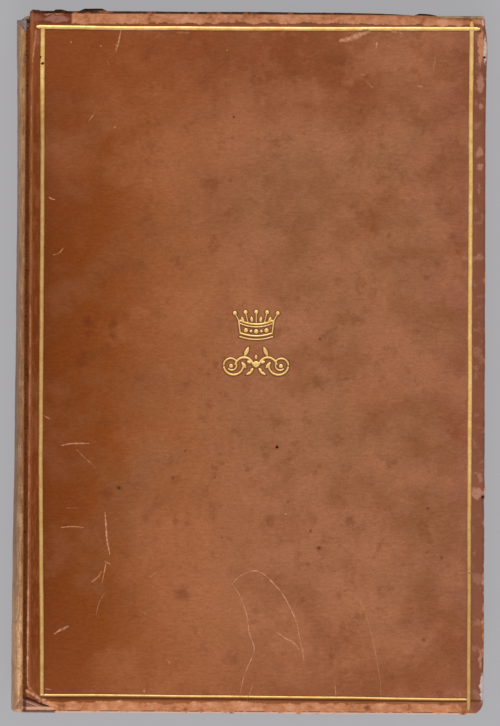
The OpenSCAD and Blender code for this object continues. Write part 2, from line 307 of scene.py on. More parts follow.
class Net:
    """Builds one material. Its methods add a node each and return the Value that comes out."""

    def __init__(self, name):
        self.material = bpy.data.materials.new(name)
        self.material.use_nodes = True
        self.tree = self.material.node_tree
        self.shader = self.tree.nodes["Principled BSDF"]

    def feed(self, socket, value):
        if isinstance(value, Value):
            self.tree.links.new(value.socket, socket)
        else:
            socket.default_value = value

    def node(self, kind, inputs, out=0, **settings):
        node = self.tree.nodes.new("ShaderNode" + kind)
        for key, value in settings.items():
            setattr(node, key, value)
        for slot, value in inputs.items():
            self.feed(node.inputs[slot], value)
        return Value(self, node.outputs[out])

    def math(self, operation, a, b=0.0):
        return self.node("Math", {0: a, 1: b}, operation=operation)

    def step(self, low, high, value):
        """Smooth step from 0 at low to 1 at high. low may be above high."""
        inputs = {"Value": value, "From Min": low, "From Max": high}
        return self.node("MapRange", inputs, interpolation_type="SMOOTHSTEP")

    def band(self, value, low, high, soft):
        """1 from low to high, falling to 0 over soft on both sides."""
        return self.step(low - soft, low, value) * self.step(high + soft, high, value)

    def place(self, attribute=True):
        """The point's place at rest, in millimetres."""
        if attribute:
            return self.node("Attribute", {}, out=1, attribute_name="rest")
        return self.scale(self.node("TexCoord", {}, out=3), 1 / MM)

    def number(self, name):
        """A named number of the mesh."""
        return self.node("Attribute", {}, out=2, attribute_name=name)

    def vector(self, operation, a, b=(0, 0, 0), out=0):
        return self.node("VectorMath", {0: a, 1: b}, out, operation=operation)

    def scale(self, vector, factor):
        """A vector or a colour times a number."""
        return self.node("VectorMath", {0: vector, "Scale": factor}, operation="SCALE")

    def split(self, spot):
        node = self.tree.nodes.new("ShaderNodeSeparateXYZ")
        self.feed(node.inputs[0], spot)
        return [Value(self, output) for output in node.outputs]

    def noise(self, spot, size, seed=0, detail=2.0, rough=0.5, stretch=(1, 1, 1), out=0):
        """Noise about 0.5 whose features are size millimetres broad, longer where stretch is more."""
        shift = tuple(seed * s for s in SEED_SHIFT)
        spot = self.node("Mapping", {0: spot, 1: shift, 3: tuple(1 / (size * s) for s in stretch)})
        inputs = {"Vector": spot, "Scale": 1.0, "Detail": detail, "Roughness": rough}
        return self.node("TexNoise", inputs, out=out)

    def near(self, spot, centre, radius, hard):
        """1 near a point of the cover, falling to 0 from the share hard of the radius to its rim."""
        return self.step(radius, radius * hard, self.vector("DISTANCE", spot, (*centre, TOP), out=1))

    def oval(self, spot, centre, wide, tall):
        """1 within an oval on the cover, from its half sizes, with a soft edge."""
        away = self.vector("SUBTRACT", spot, (*centre, TOP))
        away = self.vector("MULTIPLY", away, (1 / wide, 1 / tall, 0))
        return self.step(1.15, 0.75, self.vector("LENGTH", away, out=1))

    def stray(self, spot, size, reach, seed):
        """The place, pushed about by noise, for clouds and stains with uneven outlines."""
        push = self.noise(spot, size, seed, detail=3, out=1)
        push = self.vector("MULTIPLY", self.vector("SUBTRACT", push, (0.5, 0.5, 0.5)), (reach, reach, 0))
        return self.vector("ADD", spot, push)

    def mix(self, factor, a, b):
        return self.node("Mix", {0: factor, 6: a, 7: b}, out=2, data_type="RGBA")

    def ramp(self, factor, stops):
        """Colour that runs through stops of (place, 8-bit colour)."""
        node = self.tree.nodes.new("ShaderNodeValToRGB")
        elements = node.color_ramp.elements
        while len(elements) < len(stops):
            elements.new(0.5)
        for element, (at, *tint) in zip(elements, stops):
            element.position = at
            element.color = srgb(*tint)
        self.feed(node.inputs[0], factor)
        return Value(self, node.outputs[0])

    def finish(self, color, roughness, height=None, depth=0.05, **fixed):
        """Wires the shader. height is bumped by depth millimetres, and fixed values stay unlinked."""
        self.feed(self.shader.inputs["Base Color"], color)
        self.feed(self.shader.inputs["Roughness"], roughness)
        if height is not None:
            bump = self.node("Bump", {"Height": height, "Strength": 1.0, "Distance": depth * MM})
            self.feed(self.shader.inputs["Normal"], bump)
        for name, value in fixed.items():
            self.feed(self.shader.inputs[name.replace("_", " ")], value)
        return self.material


# Clouds, stains and rubbed patches of the front cover, at pixels of the scan. Radii are in millimetres.
# Broad clouds in the calf: pixel, radius, strength
CLOUDS = {
    "cool": (
        (285, 195, 24, 0.55), (385, 160, 16, 0.5), (402, 255, 24, 0.5), (335, 300, 24, 0.4),
        (255, 415, 24, 0.45), (340, 430, 24, 0.55), (150, 470, 13, 0.5), (415, 440, 22, 0.45),
        (140, 400, 12, 0.3), (430, 335, 20, 0.3), (330, 560, 20, 0.2), (400, 590, 16, 0.2),
        (440, 520, 24, 0.35), (430, 600, 24, 0.3),
    ),
    "warm": (
        (175, 165, 17, 0.4), (220, 135, 14, 0.45), (160, 540, 17, 0.45), (200, 590, 22, 0.4),
        (290, 640, 24, 0.3), (425, 60, 10, 0.5), (112, 105, 13, 0.3), (75, 160, 16, 0.3),
        (300, 540, 15, 0.2), (215, 655, 20, 0.25),
    ),
    "red": (
        (290, 62, 22, 0.7), (345, 75, 20, 0.7), (200, 52, 22, 0.45), (82, 335, 8, 0.3),
        (50, 215, 11, 0.45), (58, 470, 13, 0.4), (410, 100, 10, 0.25), (100, 190, 8, 0.2),
        (462, 420, 11, 0.5), (60, 645, 14, 0.3), (458, 240, 9, 0.4), (368, 212, 5, 0.5),
        (465, 90, 10, 0.3), (380, 400, 12, 0.25), (450, 640, 17, 0.55), (375, 690, 20, 0.5),
        (300, 685, 16, 0.3), (345, 640, 15, 0.35), (420, 690, 14, 0.6),
    ),
}
CLOUD_TINTS = {"cool": (139, 91, 59), "warm": (170, 104, 69), "red": (126, 62, 28)}
# Dark stains and blots: pixel, radius, strength
STAINS = (
    (88, 322, 2.2, 0.8), (89, 333, 1.8, 0.6), (84, 354, 2.1, 0.75), (81, 362, 2.6, 0.6),
    (113, 323, 1.9, 0.7), (113, 336, 1.8, 0.6), (107, 345, 1.5, 0.5), (101, 285, 1.7, 0.35),
    (70, 402, 2.6, 0.4), (107, 493, 2.8, 0.6), (119, 488, 1.0, 0.7), (270, 521, 2.3, 0.6),
    (350, 521, 2.0, 0.6), (183, 594, 3.2, 0.6), (266, 455, 1.4, 0.4), (216, 365, 1.3, 0.6),
    (145, 518, 1.6, 0.4), (160, 523, 1.8, 0.4), (176, 521, 1.6, 0.45), (187, 523, 1.2, 0.4),
    (331, 656, 1.3, 0.6), (424, 640, 1.3, 0.6), (318, 548, 1.0, 0.7), (309, 565, 1.0, 0.5),
    (228, 213, 1.6, 0.4), (355, 205, 2.2, 0.35), (372, 214, 2.0, 0.4), (453, 237, 1.3, 0.5),
    (427, 277, 1.4, 0.5), (389, 236, 1.2, 0.5),
)
# Rubbed patches at the edges: middle pixel, half sizes across and along, strength, colour
TAN, PINK, MAUVE, CHALK = (192, 128, 90), (182, 128, 106), (158, 106, 86), (202, 186, 180)
PATCHES = (
    (480.8, 47, 0.75, 5.2, 1.0, TAN), (485.4, 50, 0.5, 4.0, 0.9, CHALK), (480.3, 84, 1.0, 3.0, 0.7, PINK),
    (481, 106, 0.6, 0.9, 0.7, PINK), (480, 152, 0.9, 1.4, 0.7, PINK), (480, 167, 1.0, 0.9, 0.7, PINK),
    (470, 258, 2.2, 0.9, 0.3, PINK), (480, 257, 1.2, 0.8, 0.35, PINK), (477, 493, 1.5, 1.9, 0.8, PINK),
    (485, 492, 0.6, 1.3, 0.9, CHALK), (480, 478, 0.8, 1.3, 0.5, PINK), (480.3, 659, 0.5, 2.7, 0.7, PINK),
    (482.3, 687, 0.75, 4.3, 0.9, CHALK), (485, 645, 0.5, 0.5, 0.9, CHALK), (479, 188, 0.5, 1.6, 0.4, PINK),
    (56.5, 18.8, 3.6, 0.9, 0.9, MAUVE), (54, 13.8, 2.8, 0.3, 0.8, TAN), (483.3, 23, 0.3, 1.4, 0.9, CHALK),
    (38, 18, 1.4, 0.8, 0.4, MAUVE), (36.5, 38, 0.5, 2.6, 0.45, MAUVE),
)


def cloud_shares(x, y):
    """How much of each kind of cloud lies on places of the front cover, from 0 to 1."""
    u = x + 4 * Ripple(401, 30)(y) + 3 * Ripple(402, 22)(x + y)
    v = y + 4 * Ripple(403, 30)(x) + 3 * Ripple(404, 22)(x - y)
    shares = {}
    for name, places in CLOUDS.items():
        share = np.zeros_like(x)
        for px, py, radius, strength in places:
            centre = on_book(px, py)
            share = np.maximum(share, strength * smooth(radius, 0, np.hypot(u - centre[0], v - centre[1])))
        shares[name] = share
    return shares


# Noises of the calf: size in millimetres, seed, detail, roughness, stretch
EVEN = (1, 1, 1)
CALF_NOISES = {
    "cloud": (26, 0, 4, 0.62, EVEN),
    "blotch": (6, 1, 4, 0.66, EVEN),
    "grain": (0.9, 2, 3, 0.65, (1.9, 1, 1)),
    "pores": (0.42, 3, 2, 0.6, EVEN),
    "ragged": (3.2, 4, 4, 0.62, EVEN),
    "slow": (16, 5, 2, 0.5, EVEN),
    "crack": (0.55, 6, 3, 0.7, (1, 7, 1)),
    "crossing": (0.6, 7, 3, 0.7, (4, 1, 4)),
    "fibre": (0.8, 8, 3, 0.6, (3, 1, 1)),
    "ticks": (0.5, 11, 2, 0.7, (2.5, 1, 1)),
    "hair": (0.3, 12, 2, 0.6, (6, 1, 1)),
    "streak": (1.1, 13, 3, 0.6, (1, 6, 1)),
    "rubs": (0.9, 14, 3, 0.65, (1, 5, 1)),
    "mottle": (11, 15, 3, 0.55, EVEN),
}
# Ramps of colour: across the cover, over a rubbed edge, up the spine, and through the torn layers
COVER_TONES = (
    (0.0, 108, 50, 10), (0.035, 110, 51, 8), (0.06, 119, 55, 10), (0.17, 131, 65, 18), (0.30, 151, 87, 48),
    (0.55, 159, 101, 68), (0.80, 157, 99, 68), (0.94, 150, 91, 64), (1.0, 140, 86, 64),
)
RUB_TONES = ((0.38, 134, 76, 48), (0.46, 184, 116, 78), (0.54, 196, 130, 92), (0.66, 214, 152, 118))
SPINE_TONES = (
    (0.0, 236, 180, 128), (0.17, 230, 178, 126), (0.26, 176, 128, 88), (0.5, 164, 118, 82),
    (0.72, 180, 132, 90), (0.88, 198, 148, 100), (1.0, 192, 134, 84),
)
LAYER_TONES = (
    (0.0, 150, 94, 66), (0.08, 62, 30, 18), (0.24, 64, 32, 20), (0.32, 148, 98, 80),
    (0.40, 158, 108, 88), (0.45, 200, 152, 124), (0.50, 100, 58, 44), (0.60, 152, 102, 84),
    (0.70, 112, 66, 52), (0.80, 150, 100, 82),
)


class Calf(Net):
    """Polished tan calf, mottled and rubbed: the cover, the joint and half the spine."""

    def __init__(self, name, seed, front):
        super().__init__(name)
        self.front = front
        spot = self.place()
        x, self.y, self.z = self.split(spot)
        self.across = x - JOINT
        self.from_head, self.from_tail, self.from_fore = HEAD - self.y, self.y - TAIL, FORE - x
        self.frayed = self.stray(spot, 1.6, 2.2, seed + 10)
        for key, (size, offset, *shape) in CALF_NOISES.items():
            setattr(self, key, self.noise(spot, size, seed + offset, *shape))
        self.flat = self.step(TOP - 1.2, TOP - 0.9, self.z)

    def mottled(self):
        """The calf's own colours, from the joint to the fore edge."""
        across = self.across
        coat = Coat(self, self.ramp(across * (1 / COVER_W), COVER_TONES))
        ends = self.step(58, 92, self.y) | self.step(-72, -97, self.y) * 0.6
        coat.lay(ends * self.step(118, 70, across) * 0.75, 140, 72, 34)
        coat.lay(self.step(0.50, 0.66, self.cloud) * 0.5, 136, 82, 48)
        coat.lay(self.step(0.48, 0.34, self.cloud) * self.step(8, 30, across) * 0.4, 166, 103, 64)
        if self.front:
            self.lay_clouds(coat)
        outer = self.step(30, 90, across)
        coat.lay(self.step(0.50, 0.62, self.mottle) * outer * 0.4, 132, 76, 40)
        coat.lay(self.step(0.48, 0.38, self.mottle) * outer * 0.35, 168, 108, 72)
        coat.lay(self.step(0.54, 0.70, self.blotch) * 0.42, 118, 62, 28)
        coat.lay(self.step(0.46, 0.30, self.blotch) * self.step(14, 40, across) * 0.25, 172, 110, 74)
        coat.brighten(1 + (self.grain - 0.5) * 0.5 + (self.pores - 0.5) * 0.5 + (self.hair - 0.5) * 0.3)
        return coat

    def lay_clouds(self, coat):
        """The front cover's clouds and stains, where the scan has them."""
        for cloud, tint in CLOUD_TINTS.items():
            coat.lay(self.number(cloud), *tint)
        stain = 0.0
        for px, py, radius, strength in STAINS:
            stain = self.near(self.frayed, on_book(px, py), radius, 0.2) * strength | stain
        coat.lay(stain * 0.8, 108, 48, 18)

    def rub_edges_and_shade(self, coat):
        """Dark, purplish strips outside the fillets, rubbed to bare tan, and a painted shadow just under the
        tail's fillet. Returns the rubbed share.
        """
        across, ragged, from_head, from_fore = self.across, self.ragged, self.from_head, self.from_fore
        coat.lay(self.step(4.3, 3.6, from_fore) * 0.6 | self.step(3.7, 3.1, from_head) * 0.8, 122, 70, 52)
        coat.lay(self.step(0.53, 0.64, ragged) * self.step(3.6, 3.0, from_fore) * 0.35, 172, 124, 102)
        # Painted shadow, dark brown, in a thin band just under the tail's fillet
        coat.lay(self.band(self.from_tail, 3.7, 4.2, 0.25) * self.step(6, 10, across) * 0.7, 92, 44, 6)
        reach = (ragged - 0.5) * 2.6 + (self.slow - 0.5) * 1.8
        head = self.step(0.15, -0.15, from_head - 3.0 - reach)
        tail = self.step(0.2, -0.2, self.from_tail - 3.0 - reach) * self.step(3.0, 4.6, from_fore)
        fore = self.step(0.2, -0.2, from_fore - reach * 0.8 - (0.0 if self.front else 0.7))
        bare = Coat(self, self.ramp(self.blotch * 0.5 + ragged * 0.5, RUB_TONES))
        bare.brighten(1 + (self.grain - 0.5) * 0.9)
        bare.lay(self.band(self.from_tail, 0.3, 0.7, 0.15) * self.step(0.47, 0.53, ragged) * 0.8, 96, 50, 32)
        if self.front:
            red_end = self.step(12.6, 11.8, across) * self.step(3.6, 3.2, from_head)
            coat.lay(red_end * self.step(1.8, 3.0, across) * 0.75, 112, 46, 22)
            head = head * self.step(11.8, 12.6, across)
        rubbed = (head | tail | fore) * self.step(0.4, 1.2, across)
        coat.lay(rubbed * (0.35 + self.flat * 0.6), bare.color)
        if self.front:
            worn = self.step(0.28, 0.5, self.grain * 0.5 + self.pores * 0.5)
            for px, py, wide, tall, strength, tint in PATCHES:
                patch = self.oval(self.frayed, on_book(px, py), wide, tall) * self.flat
                coat.lay(patch * strength * worn, *tint)
        return rubbed

    def soil_and_shade_rims(self, coat):
        """The rounded rim: whitish along the tail, and painted shade, nearly black, along the head's rounded
        edge.
        """
        z, ragged = self.z, self.ragged
        pale = self.step(0.6, 0.3, self.from_tail) * self.step(0.36, 0.46, ragged)
        coat.lay(pale * self.step(TOP - 1.6, TOP - 0.9, z) * 0.8, 206, 176, 160)
        bruise = self.step(0.5, 0.62, self.slow * 0.6 + ragged * 0.4) * self.step(TOP - 0.8, TOP - 1.4, z)
        coat.lay(bruise * self.step(0.4, 1.2, self.across) * 0.5, 92, 48, 26)
        # Painted shade, nearly black, along the head's rounded edge, which faces away from the lamp
        coat.lay(self.step(0.6, 0.3, self.from_head) * self.step(0.34, 0.5, ragged) * 0.9, 40, 24, 18)

    def line_joint(self, coat):
        """The raised line beside the joint, and the dark, ticked groove."""
        across, rubs = self.across, self.rubs
        ridge = self.band(across + (rubs - 0.5) * 0.9, 0.5, 1.15, 0.4)
        coat.lay(ridge * (rubs * 1.5 - 0.33), 170, 102, 60)
        coat.lay(self.band(across, 1.6, 3.6, 0.5) * self.step(0.5, 0.62, rubs) * 0.35, 150, 84, 44)
        coat.lay(self.band(across, -0.5, -0.1, 0.3) * 0.6, 92, 46, 14)
        coat.lay(self.band(across, -0.9, -0.1, 0.25) * self.step(0.54, 0.62, self.ticks) * 0.8, 52, 26, 10)

    def sun_and_shade_spine(self, coat):
        """The sunned, streaked and cracked spine, with painted shade where it turns down toward its outer
        edge.
        """
        across, streak, crack = self.across, self.streak, self.crack
        spine = Coat(self, self.ramp(self.y * (0.5 / HEAD) + 0.5 + (self.slow - 0.5) * 0.3, SPINE_TONES))
        upper = self.step(TOP - 8, TOP - 4, self.z)
        spine.lay(self.step(0.52, 0.64, streak) * (0.15 + upper * 0.45), 146, 92, 52)
        spine.lay(self.step(0.47, 0.37, streak) * (0.1 + upper * 0.4), 218, 176, 132)
        spine.lay(self.step(0.50, 0.64, self.blotch) * 0.4, 132, 86, 54)
        spine.brighten(0.98 + (crack - 0.5) * (0.5 + upper * 0.6) + (self.crossing - 0.5) * 0.8)
        spine.lay(self.step(0.60, 0.68, crack) * (0.3 + upper * 0.4), 92, 54, 30)
        # Painted shade where the spine turns down out of the light: toward its outer edge and further below
        # the cover's face
        shaded = self.step(-2.2, -3.2, across) * 0.4 | self.step(TOP - 5, TOP - 9, self.z) * 0.3
        spine.lay(shaded, 126, 88, 64)
        spine.lay(self.step(-1.9, -0.9, across) * 0.5, 112, 68, 36)
        coat.lay(self.step(-0.7, -1.05, across), spine.color)

    def bare_tears(self, coat, torn):
        """What shows where the leather is torn away: folded layers at the tail, a dark split at the head."""
        across, from_tail, fibre = self.across, self.from_tail, self.fibre
        depth = (4.9 - from_tail - across * 0.37) * 0.25 + (fibre - 0.5) * 0.14
        layers = Coat(self, self.ramp(depth, LAYER_TONES))
        layers.lay(self.band(from_tail, 0.95, 1.5, 0.25), 204, 154, 126)
        layers.lay(self.step(0.8, 0.55, from_tail), 104, 60, 46)
        layers.lay(self.band(across, -0.5, 0.0, 0.3) * 0.8, 74, 36, 24)
        layers.lay(self.step(-0.6, -1.1, across) * 0.75, 168, 116, 88)
        split = Coat(self, srgb(152, 128, 128))
        split.lay(self.step(-0.9, -0.5, across), 58, 46, 44)
        split.brighten(1 + (fibre - 0.5) * 1.2)
        layers.lay(self.step(-20, 20, self.y), split.color)
        coat.lay(torn, layers.color)

    def mark(self, coat):
        """Scratches and dark specks, painted shade along the fillets' rims and round the stamps, and the
        plain leather turned in.
        """
        mark = self.number("mark")
        broken = self.step(0.36, 0.56, self.pores * 0.5 + self.grain * 0.5)
        coat.lay(self.step(0.0, 0.9, mark) * (0.45 + broken * 0.55), 214, 154, 118)
        # Negative marks darken: dark specks, the head's flaps, and the painted shade along fillets and round
        # stamps
        coat.lay(self.step(-0.05, -0.8, mark) * 0.9, 54, 24, 10)
        coat.lay(self.step(-0.85, -1.1, mark), 20, 14, 12)
        under = self.step(TOP - COVER_T + 0.4, TOP - COVER_T + 0.1, self.z)
        coat.lay(under * self.step(0.4, 1.5, self.across) * 0.7, 104, 62, 38)


def calf_material(name, seed, front):
    """The leather of one half of the book. front adds what only the scan's cover has."""
    calf = Calf(name, seed, front)
    torn = calf.number("torn")
    coat = calf.mottled()
    rubbed = calf.rub_edges_and_shade(coat)
    calf.soil_and_shade_rims(coat)
    calf.line_joint(coat)
    calf.sun_and_shade_spine(coat)
    calf.bare_tears(coat, torn)
    calf.mark(coat)
    height = calf.pores * 0.35 + calf.grain * 0.5 + calf.blotch * 0.5
    height = height - calf.step(0.60, 0.70, calf.crack) * calf.step(-0.6, -1.0, calf.across) * 1.5
    roughness = 0.46 + (calf.blotch - 0.5) * 0.25 + (rubbed | torn) * 0.3
    return calf.finish(coat.color, roughness, height, depth=0.07, Specular_IOR_Level=0.1)


GOLD_TONES = ((0.3, 228, 174, 96), (0.5, 244, 196, 118), (0.7, 253, 216, 142))


def gold_material(name, leather, wear):
    """Gold leaf, burnished and rubbed through to the leather in places, and darker where it has lost its
    shine or has painted shade on it.
    """
    net = Net(name)
    spot = net.place()
    patch = net.noise(spot, 2.6, 3, detail=4, rough=0.7)
    grit = net.noise(spot, 0.5, 5, detail=2, rough=0.7)
    slow = net.noise(spot, 22, 7, detail=2)
    dull = net.number("dull")
    coat = Coat(net, net.ramp(patch, GOLD_TONES))
    # Darker where the gold has lost its shine, and where shade is painted on it: the lower sides and edges
    # of the fillets, the edges of the stamps
    coat.lay(dull, 132, 82, 30)
    gone = net.step(wear, wear + 0.09, patch * 0.45 + grit * 0.35 + slow * 0.2 + dull * 0.05)
    coat.lay(gone, leather)
    coat.brighten(1 + (grit - 0.5) * 0.4)
    roughness = 0.38 + grit * 0.16 + dull * 0.1
    return net.finish(coat.color, roughness, grit, depth=0.03, Metallic=(1 - gone) * 0.6)


def paper_material(name, attribute, light, dark, leaves):
    """Toned rag paper. leaves draws the lines of the leaf edges across Z."""
    net = Net(name)
    spot = net.place(attribute)
    tone = net.noise(spot, 26, 1, detail=3)
    fibre = net.noise(spot, 0.9, 2, detail=3, rough=0.7)
    fox = net.noise(spot, 6, 3, detail=2)
    coat = Coat(net, light)
    coat.lay(net.step(0.3, 0.7, tone) * 0.6, dark)
    coat.lay(net.step(0.68, 0.76, fox) * 0.35, 176, 128, 82)
    height = fibre
    if leaves:
        lines = net.noise(spot, 0.16, 4, detail=2, rough=0.7, stretch=(140, 140, 1))
        bundle = net.noise(spot, 1.6, 5, detail=2, stretch=(40, 40, 1))
        coat.brighten(0.98 + (lines - 0.5) * 0.75 + (bundle - 0.5) * 0.4)
        height = fibre * 0.3 + lines * 1.6
    else:
        laid = net.noise(spot, 0.8, 6, detail=1, stretch=(1, 60, 1))
        coat.brighten(1 + (fibre - 0.5) * 0.12 + (laid - 0.5) * 0.06)
    return net.finish(coat.color, 0.82, height, depth=0.04, Specular_IOR_Level=0.2)


def fibre_material(name, light, dark, stretch, size):
    """Coarse fibres of a CAD piece: pasteboard, cord or lining paper."""
    net = Net(name)
    spot = net.place(attribute=False)
    fibre = net.noise(spot, size, 1, detail=4, rough=0.7, stretch=stretch)
    tone = net.noise(spot, 9, 2, detail=2)
    color = net.mix(net.step(0.32, 0.68, fibre * 0.6 + tone * 0.4), dark, light)
    return net.finish(color, 0.9, fibre, depth=0.15, Specular_IOR_Level=0.2)


def silk_material():
    """Endband thread in two faded colours, with dust on top."""
    net = Net("endband_thread")
    spot = net.place()
    turn = net.number("thread")
    fibre = net.noise(spot, 0.18, 1, detail=3, rough=0.7, stretch=(1, 1, 3))
    coat = Coat(net, srgb(196, 176, 136))
    coat.lay(turn, 126, 72, 50)
    coat.brighten(1 + (fibre - 0.5) * 0.7)
    return net.finish(coat.color, 0.62, fibre, depth=0.05, Sheen_Weight=0.25)


calf_front = calf_material("calf_front", 0, True)
calf_back = calf_material("calf_back", 40, False)
line_gold = gold_material("line_gold", srgb(112, 58, 26), 0.61)
stamp_gold = gold_material("stamp_gold", srgb(150, 92, 52), 0.57)
leaf_paper = paper_material("leaf_paper", True, srgb(216, 196, 160), srgb(200, 170, 126), True)
end_paper = paper_material("end_paper", False, srgb(222, 208, 174), srgb(208, 188, 148), False)
fold_paper = paper_material("fold_paper", True, srgb(216, 200, 164), srgb(200, 178, 138), False)
board = fibre_material("board", srgb(186, 158, 122), srgb(132, 104, 76), (3, 3, 1), 0.8)
hemp = fibre_material("hemp", srgb(190, 164, 120), srgb(120, 92, 60), (1, 1, 5), 0.4)
lining = fibre_material("lining", srgb(158, 134, 108), srgb(98, 72, 54), (1, 1, 1), 1.2)
thread = silk_material()


# The skin: covers, joints and spine

def fillet_line(side):
    """A fillet as (runs along Y, its place across, start, end, half its breadth)."""
    left = border_low[0] + RUN_ON["start"]
    right = border_high[0] - RUN_ON["fore"]
    top = border_high[1] - RUN_ON["start"]
    bottom = border_low[1] + RUN_ON["tail"]
    half = FILLET_W / 2
    return {
        "spine": (True, left, bottom, top, half),
        "fore": (True, right, bottom - RUN_ON["tail"], top + RUN_ON["start"], half),
        "head": (False, top, left - RUN_ON["start"], right + RUN_ON["fore"], half * 0.88),
        "tail": (False, bottom, left, right, half * 0.76),
    }[side]


FILLETS = {side: fillet_line(side) for side in ("spine", "fore", "head", "tail")}
WANDER = {side: Ripple(80 + k, 60, octaves=4) for k, side in enumerate(FILLETS)}
# Where the binder's hand strayed from a fillet's true line: places along it, and by how much
HAND = {
    "spine": ((-92, -67, -25, 18, 60, 86), (0.55, 0.35, -0.15, 0.0, -0.05, -0.15)),
    "fore": ((-92, -60, 0, 60, 92), (0.1, 0.05, 0.0, -0.1, 0.0)),
    "head": ((-60, -34, 0, 28, 60), (-0.28, -0.55, -0.5, -0.4, -0.3)),
    "tail": ((-60, 0, 60), (0.35, 0.15, -0.3)),
}
# How dark the painted shade in the leather is along the rims of a fillet
RIM_SHADE = {"spine": 0.3, "fore": 0.3, "head": 0.8, "tail": 1.3}
STAMP_AREA = (
    (min(coronet_low[0], scroll_low[0]) - 1, max(coronet_high[0], scroll_high[0]) + 1),
    (scroll_low[1] - 1, coronet_high[1] + 1),
)


def fillet_shift(side, along):
    """How far the fillet runs off its true line."""
    return 0.07 * WANDER[side](along) + np.interp(along, *HAND[side])


def pressed(x, y):
    """How deep the four fillets press the leather in, and how much painted shade lies along their rims."""
    depth = np.zeros(np.broadcast(x, y).shape)
    rim = depth
    for side, (along_y, place, start, end, half) in FILLETS.items():
        along, over = (y, x) if along_y else (x, y)
        u = np.abs(over - place - fillet_shift(side, along)) / half
        ends = smooth(start - 0.25, start + 0.1, along) * smooth(end + 0.25, end - 0.1, along)
        hollow = np.clip(1 - u ** 2.4, 0, 1) * 0.72 + 0.28 * smooth(1.3, 1.0, u)
        depth = np.maximum(depth, FILLET_DEPTH * hollow * ends)
        rim = np.maximum(rim, between(u, 0.9, 1.2, 0.45) * ends * RIM_SHADE[side])
    return depth, rim


# The cover's face: how far the board is wavy, how far the face keeps below the solid's, and the height of
# the raised line beside the joint, with a dip as deep beside it
BOARD_WAVE, BELOW_TOP, RIDGE_H = 0.09, 0.06, 0.10


def cover_height(x, y, front):
    """Z of the cover's face: slow waves of the board, fillets, and calm round the stamps."""
    (x0, x1), (y0, y1) = STAMP_AREA
    off = np.maximum(np.maximum(x0 - x, x - x1), np.maximum(y0 - y, y - y1))
    calm = smooth(0, 9, off) if front else 1.0
    on_cover = smooth(JOINT + 0.15, JOINT + RIDGE_X, x)
    wave = BOARD_WAVE * Ripple(41 + front, 70)(x + 0.4 * y) * Ripple(51 + front, 90)(y - 0.3 * x) - BELOW_TOP
    ridge = RIDGE_H * between(x - JOINT, 0.8, 1.7, 0.9) - RIDGE_H * between(x - JOINT, 2.4, 3.0, 0.7)
    ridge = ridge * smooth(HEAD, HEAD - 8, np.abs(y))
    return TOP - BELOW_TOP + on_cover * (calm * wave + ridge - pressed(x, y)[0])


# The spine's section: how many points its round and its shoulder have, and where the shoulder ends
ROUND_POINTS, SHOULDER_POINTS, SHOULDER_END = 14, 9, math.radians(66)


def spine_curve():
    """Outer face of the spine from its middle to the top of the shoulder, as X and Z."""
    corner_z = TOP - SHOULDER_DROP - SHOULDER_R
    corner_h = corner_z - MID
    big_r = (corner_h ** 2 + SPINE_OUT ** 2 - SHOULDER_R ** 2) / (2 * (SPINE_OUT - SHOULDER_R))
    centre_x = JOINT + big_r - SPINE_OUT
    meet = math.atan2(corner_h, big_r - SPINE_OUT)
    back = [
        (centre_x - big_r * math.cos(a), MID + big_r * math.sin(a))
        for a in np.linspace(0, meet, ROUND_POINTS)
    ]
    turn = [
        (JOINT - SHOULDER_R * math.cos(a), corner_z + SHOULDER_R * math.sin(a))
        for a in np.linspace(meet, SHOULDER_END, SHOULDER_POINTS)[1:]
    ]
    return back + turn


# Section of the joint's groove from the spine to the cover, from the joint and the cover's face
GROOVE = (
    (-0.62, -0.84), (-0.47, -0.90), (-0.32, -0.98), (-0.16, -1.03), (0.0, -1.02), (0.13, -0.93),
    (0.22, -0.76), (0.30, -0.56), (0.40, -0.36), (0.55, -0.18), (0.75, -0.06),
)
# How many of its places lie on the cover's side, where the cover's rim is wrapped
RIM_COLUMNS = sum(x > 0 for x, z in GROOVE)


def skin_profile(cover_x):
    """X, Z and inward normal of every column of the skin, from mid spine to the fore edge."""
    points = spine_curve() + [(JOINT + x, TOP + z) for x, z in GROOVE]
    points += [(x, TOP) for x in cover_x]
    profile = np.array(points)
    run = np.gradient(profile, axis=0)
    run /= np.linalg.norm(run, axis=1)[:, None]
    return profile, np.stack([run[:, 1], -run[:, 0]], axis=1)


def knock_corner(x, y, reach_x, reach_y):
    """Pulls the square tail corner at the fore edge in to a quarter circle."""
    r = KNOCKED_R - EDGE_R
    a = (x - (reach_x - r)) / r
    b = ((reach_y + r) - y) / r
    inside = (a > 0) & (b > 0)
    size = np.where(inside, np.hypot(a, b), 1)
    pull = np.where(inside, np.maximum(a, b) / np.maximum(size, 1e-9), 1)
    new_x = np.where(inside, reach_x - r + a * r * pull, x)
    new_y = np.where(inside, reach_y + r - b * r * pull, y)
    return new_x, new_y


# Edges of the leather round the two tears: places across the joint, and how far from tail or head
TAIL_TEAR = ((-2.9, -1.5, -0.4, 0.5, 3.0, 6.4, 8.4, 9.8), (1.4, 3.9, 4.7, 4.5, 3.5, 2.1, 0.9, -1))
HEAD_TEAR = ((-3.6, -2.2, -1.07, -0.65, -0.2, 0.25), (2.6, 3.9, 5.4, 5.6, 3.6, 3.1))
# How far the tail's tear reaches across the cover
TEAR_W = 9.4


def torn_tail(x, y):
    """1 where the front's tail corner at the joint has lost its leather."""
    across = x - JOINT
    edge = np.interp(across, *TAIL_TEAR) + 0.15 * Ripple(5, 1.9)(across)
    return smooth(0.14, -0.14, (y - TAIL) - edge) * smooth(TEAR_W, 8.8, across) * smooth(-3.3, -2.9, across)


def torn_head(x, y):
    """1 where the front joint is split open at the head, down a slanting tear."""
    across = x - JOINT
    edge = np.interp(across, *HEAD_TEAR) + 0.2 * Ripple(6, 1.3)(across * 1.7)
    return smooth(0.14, -0.14, (HEAD - y) - edge) * smooth(0.34, 0.24, across)


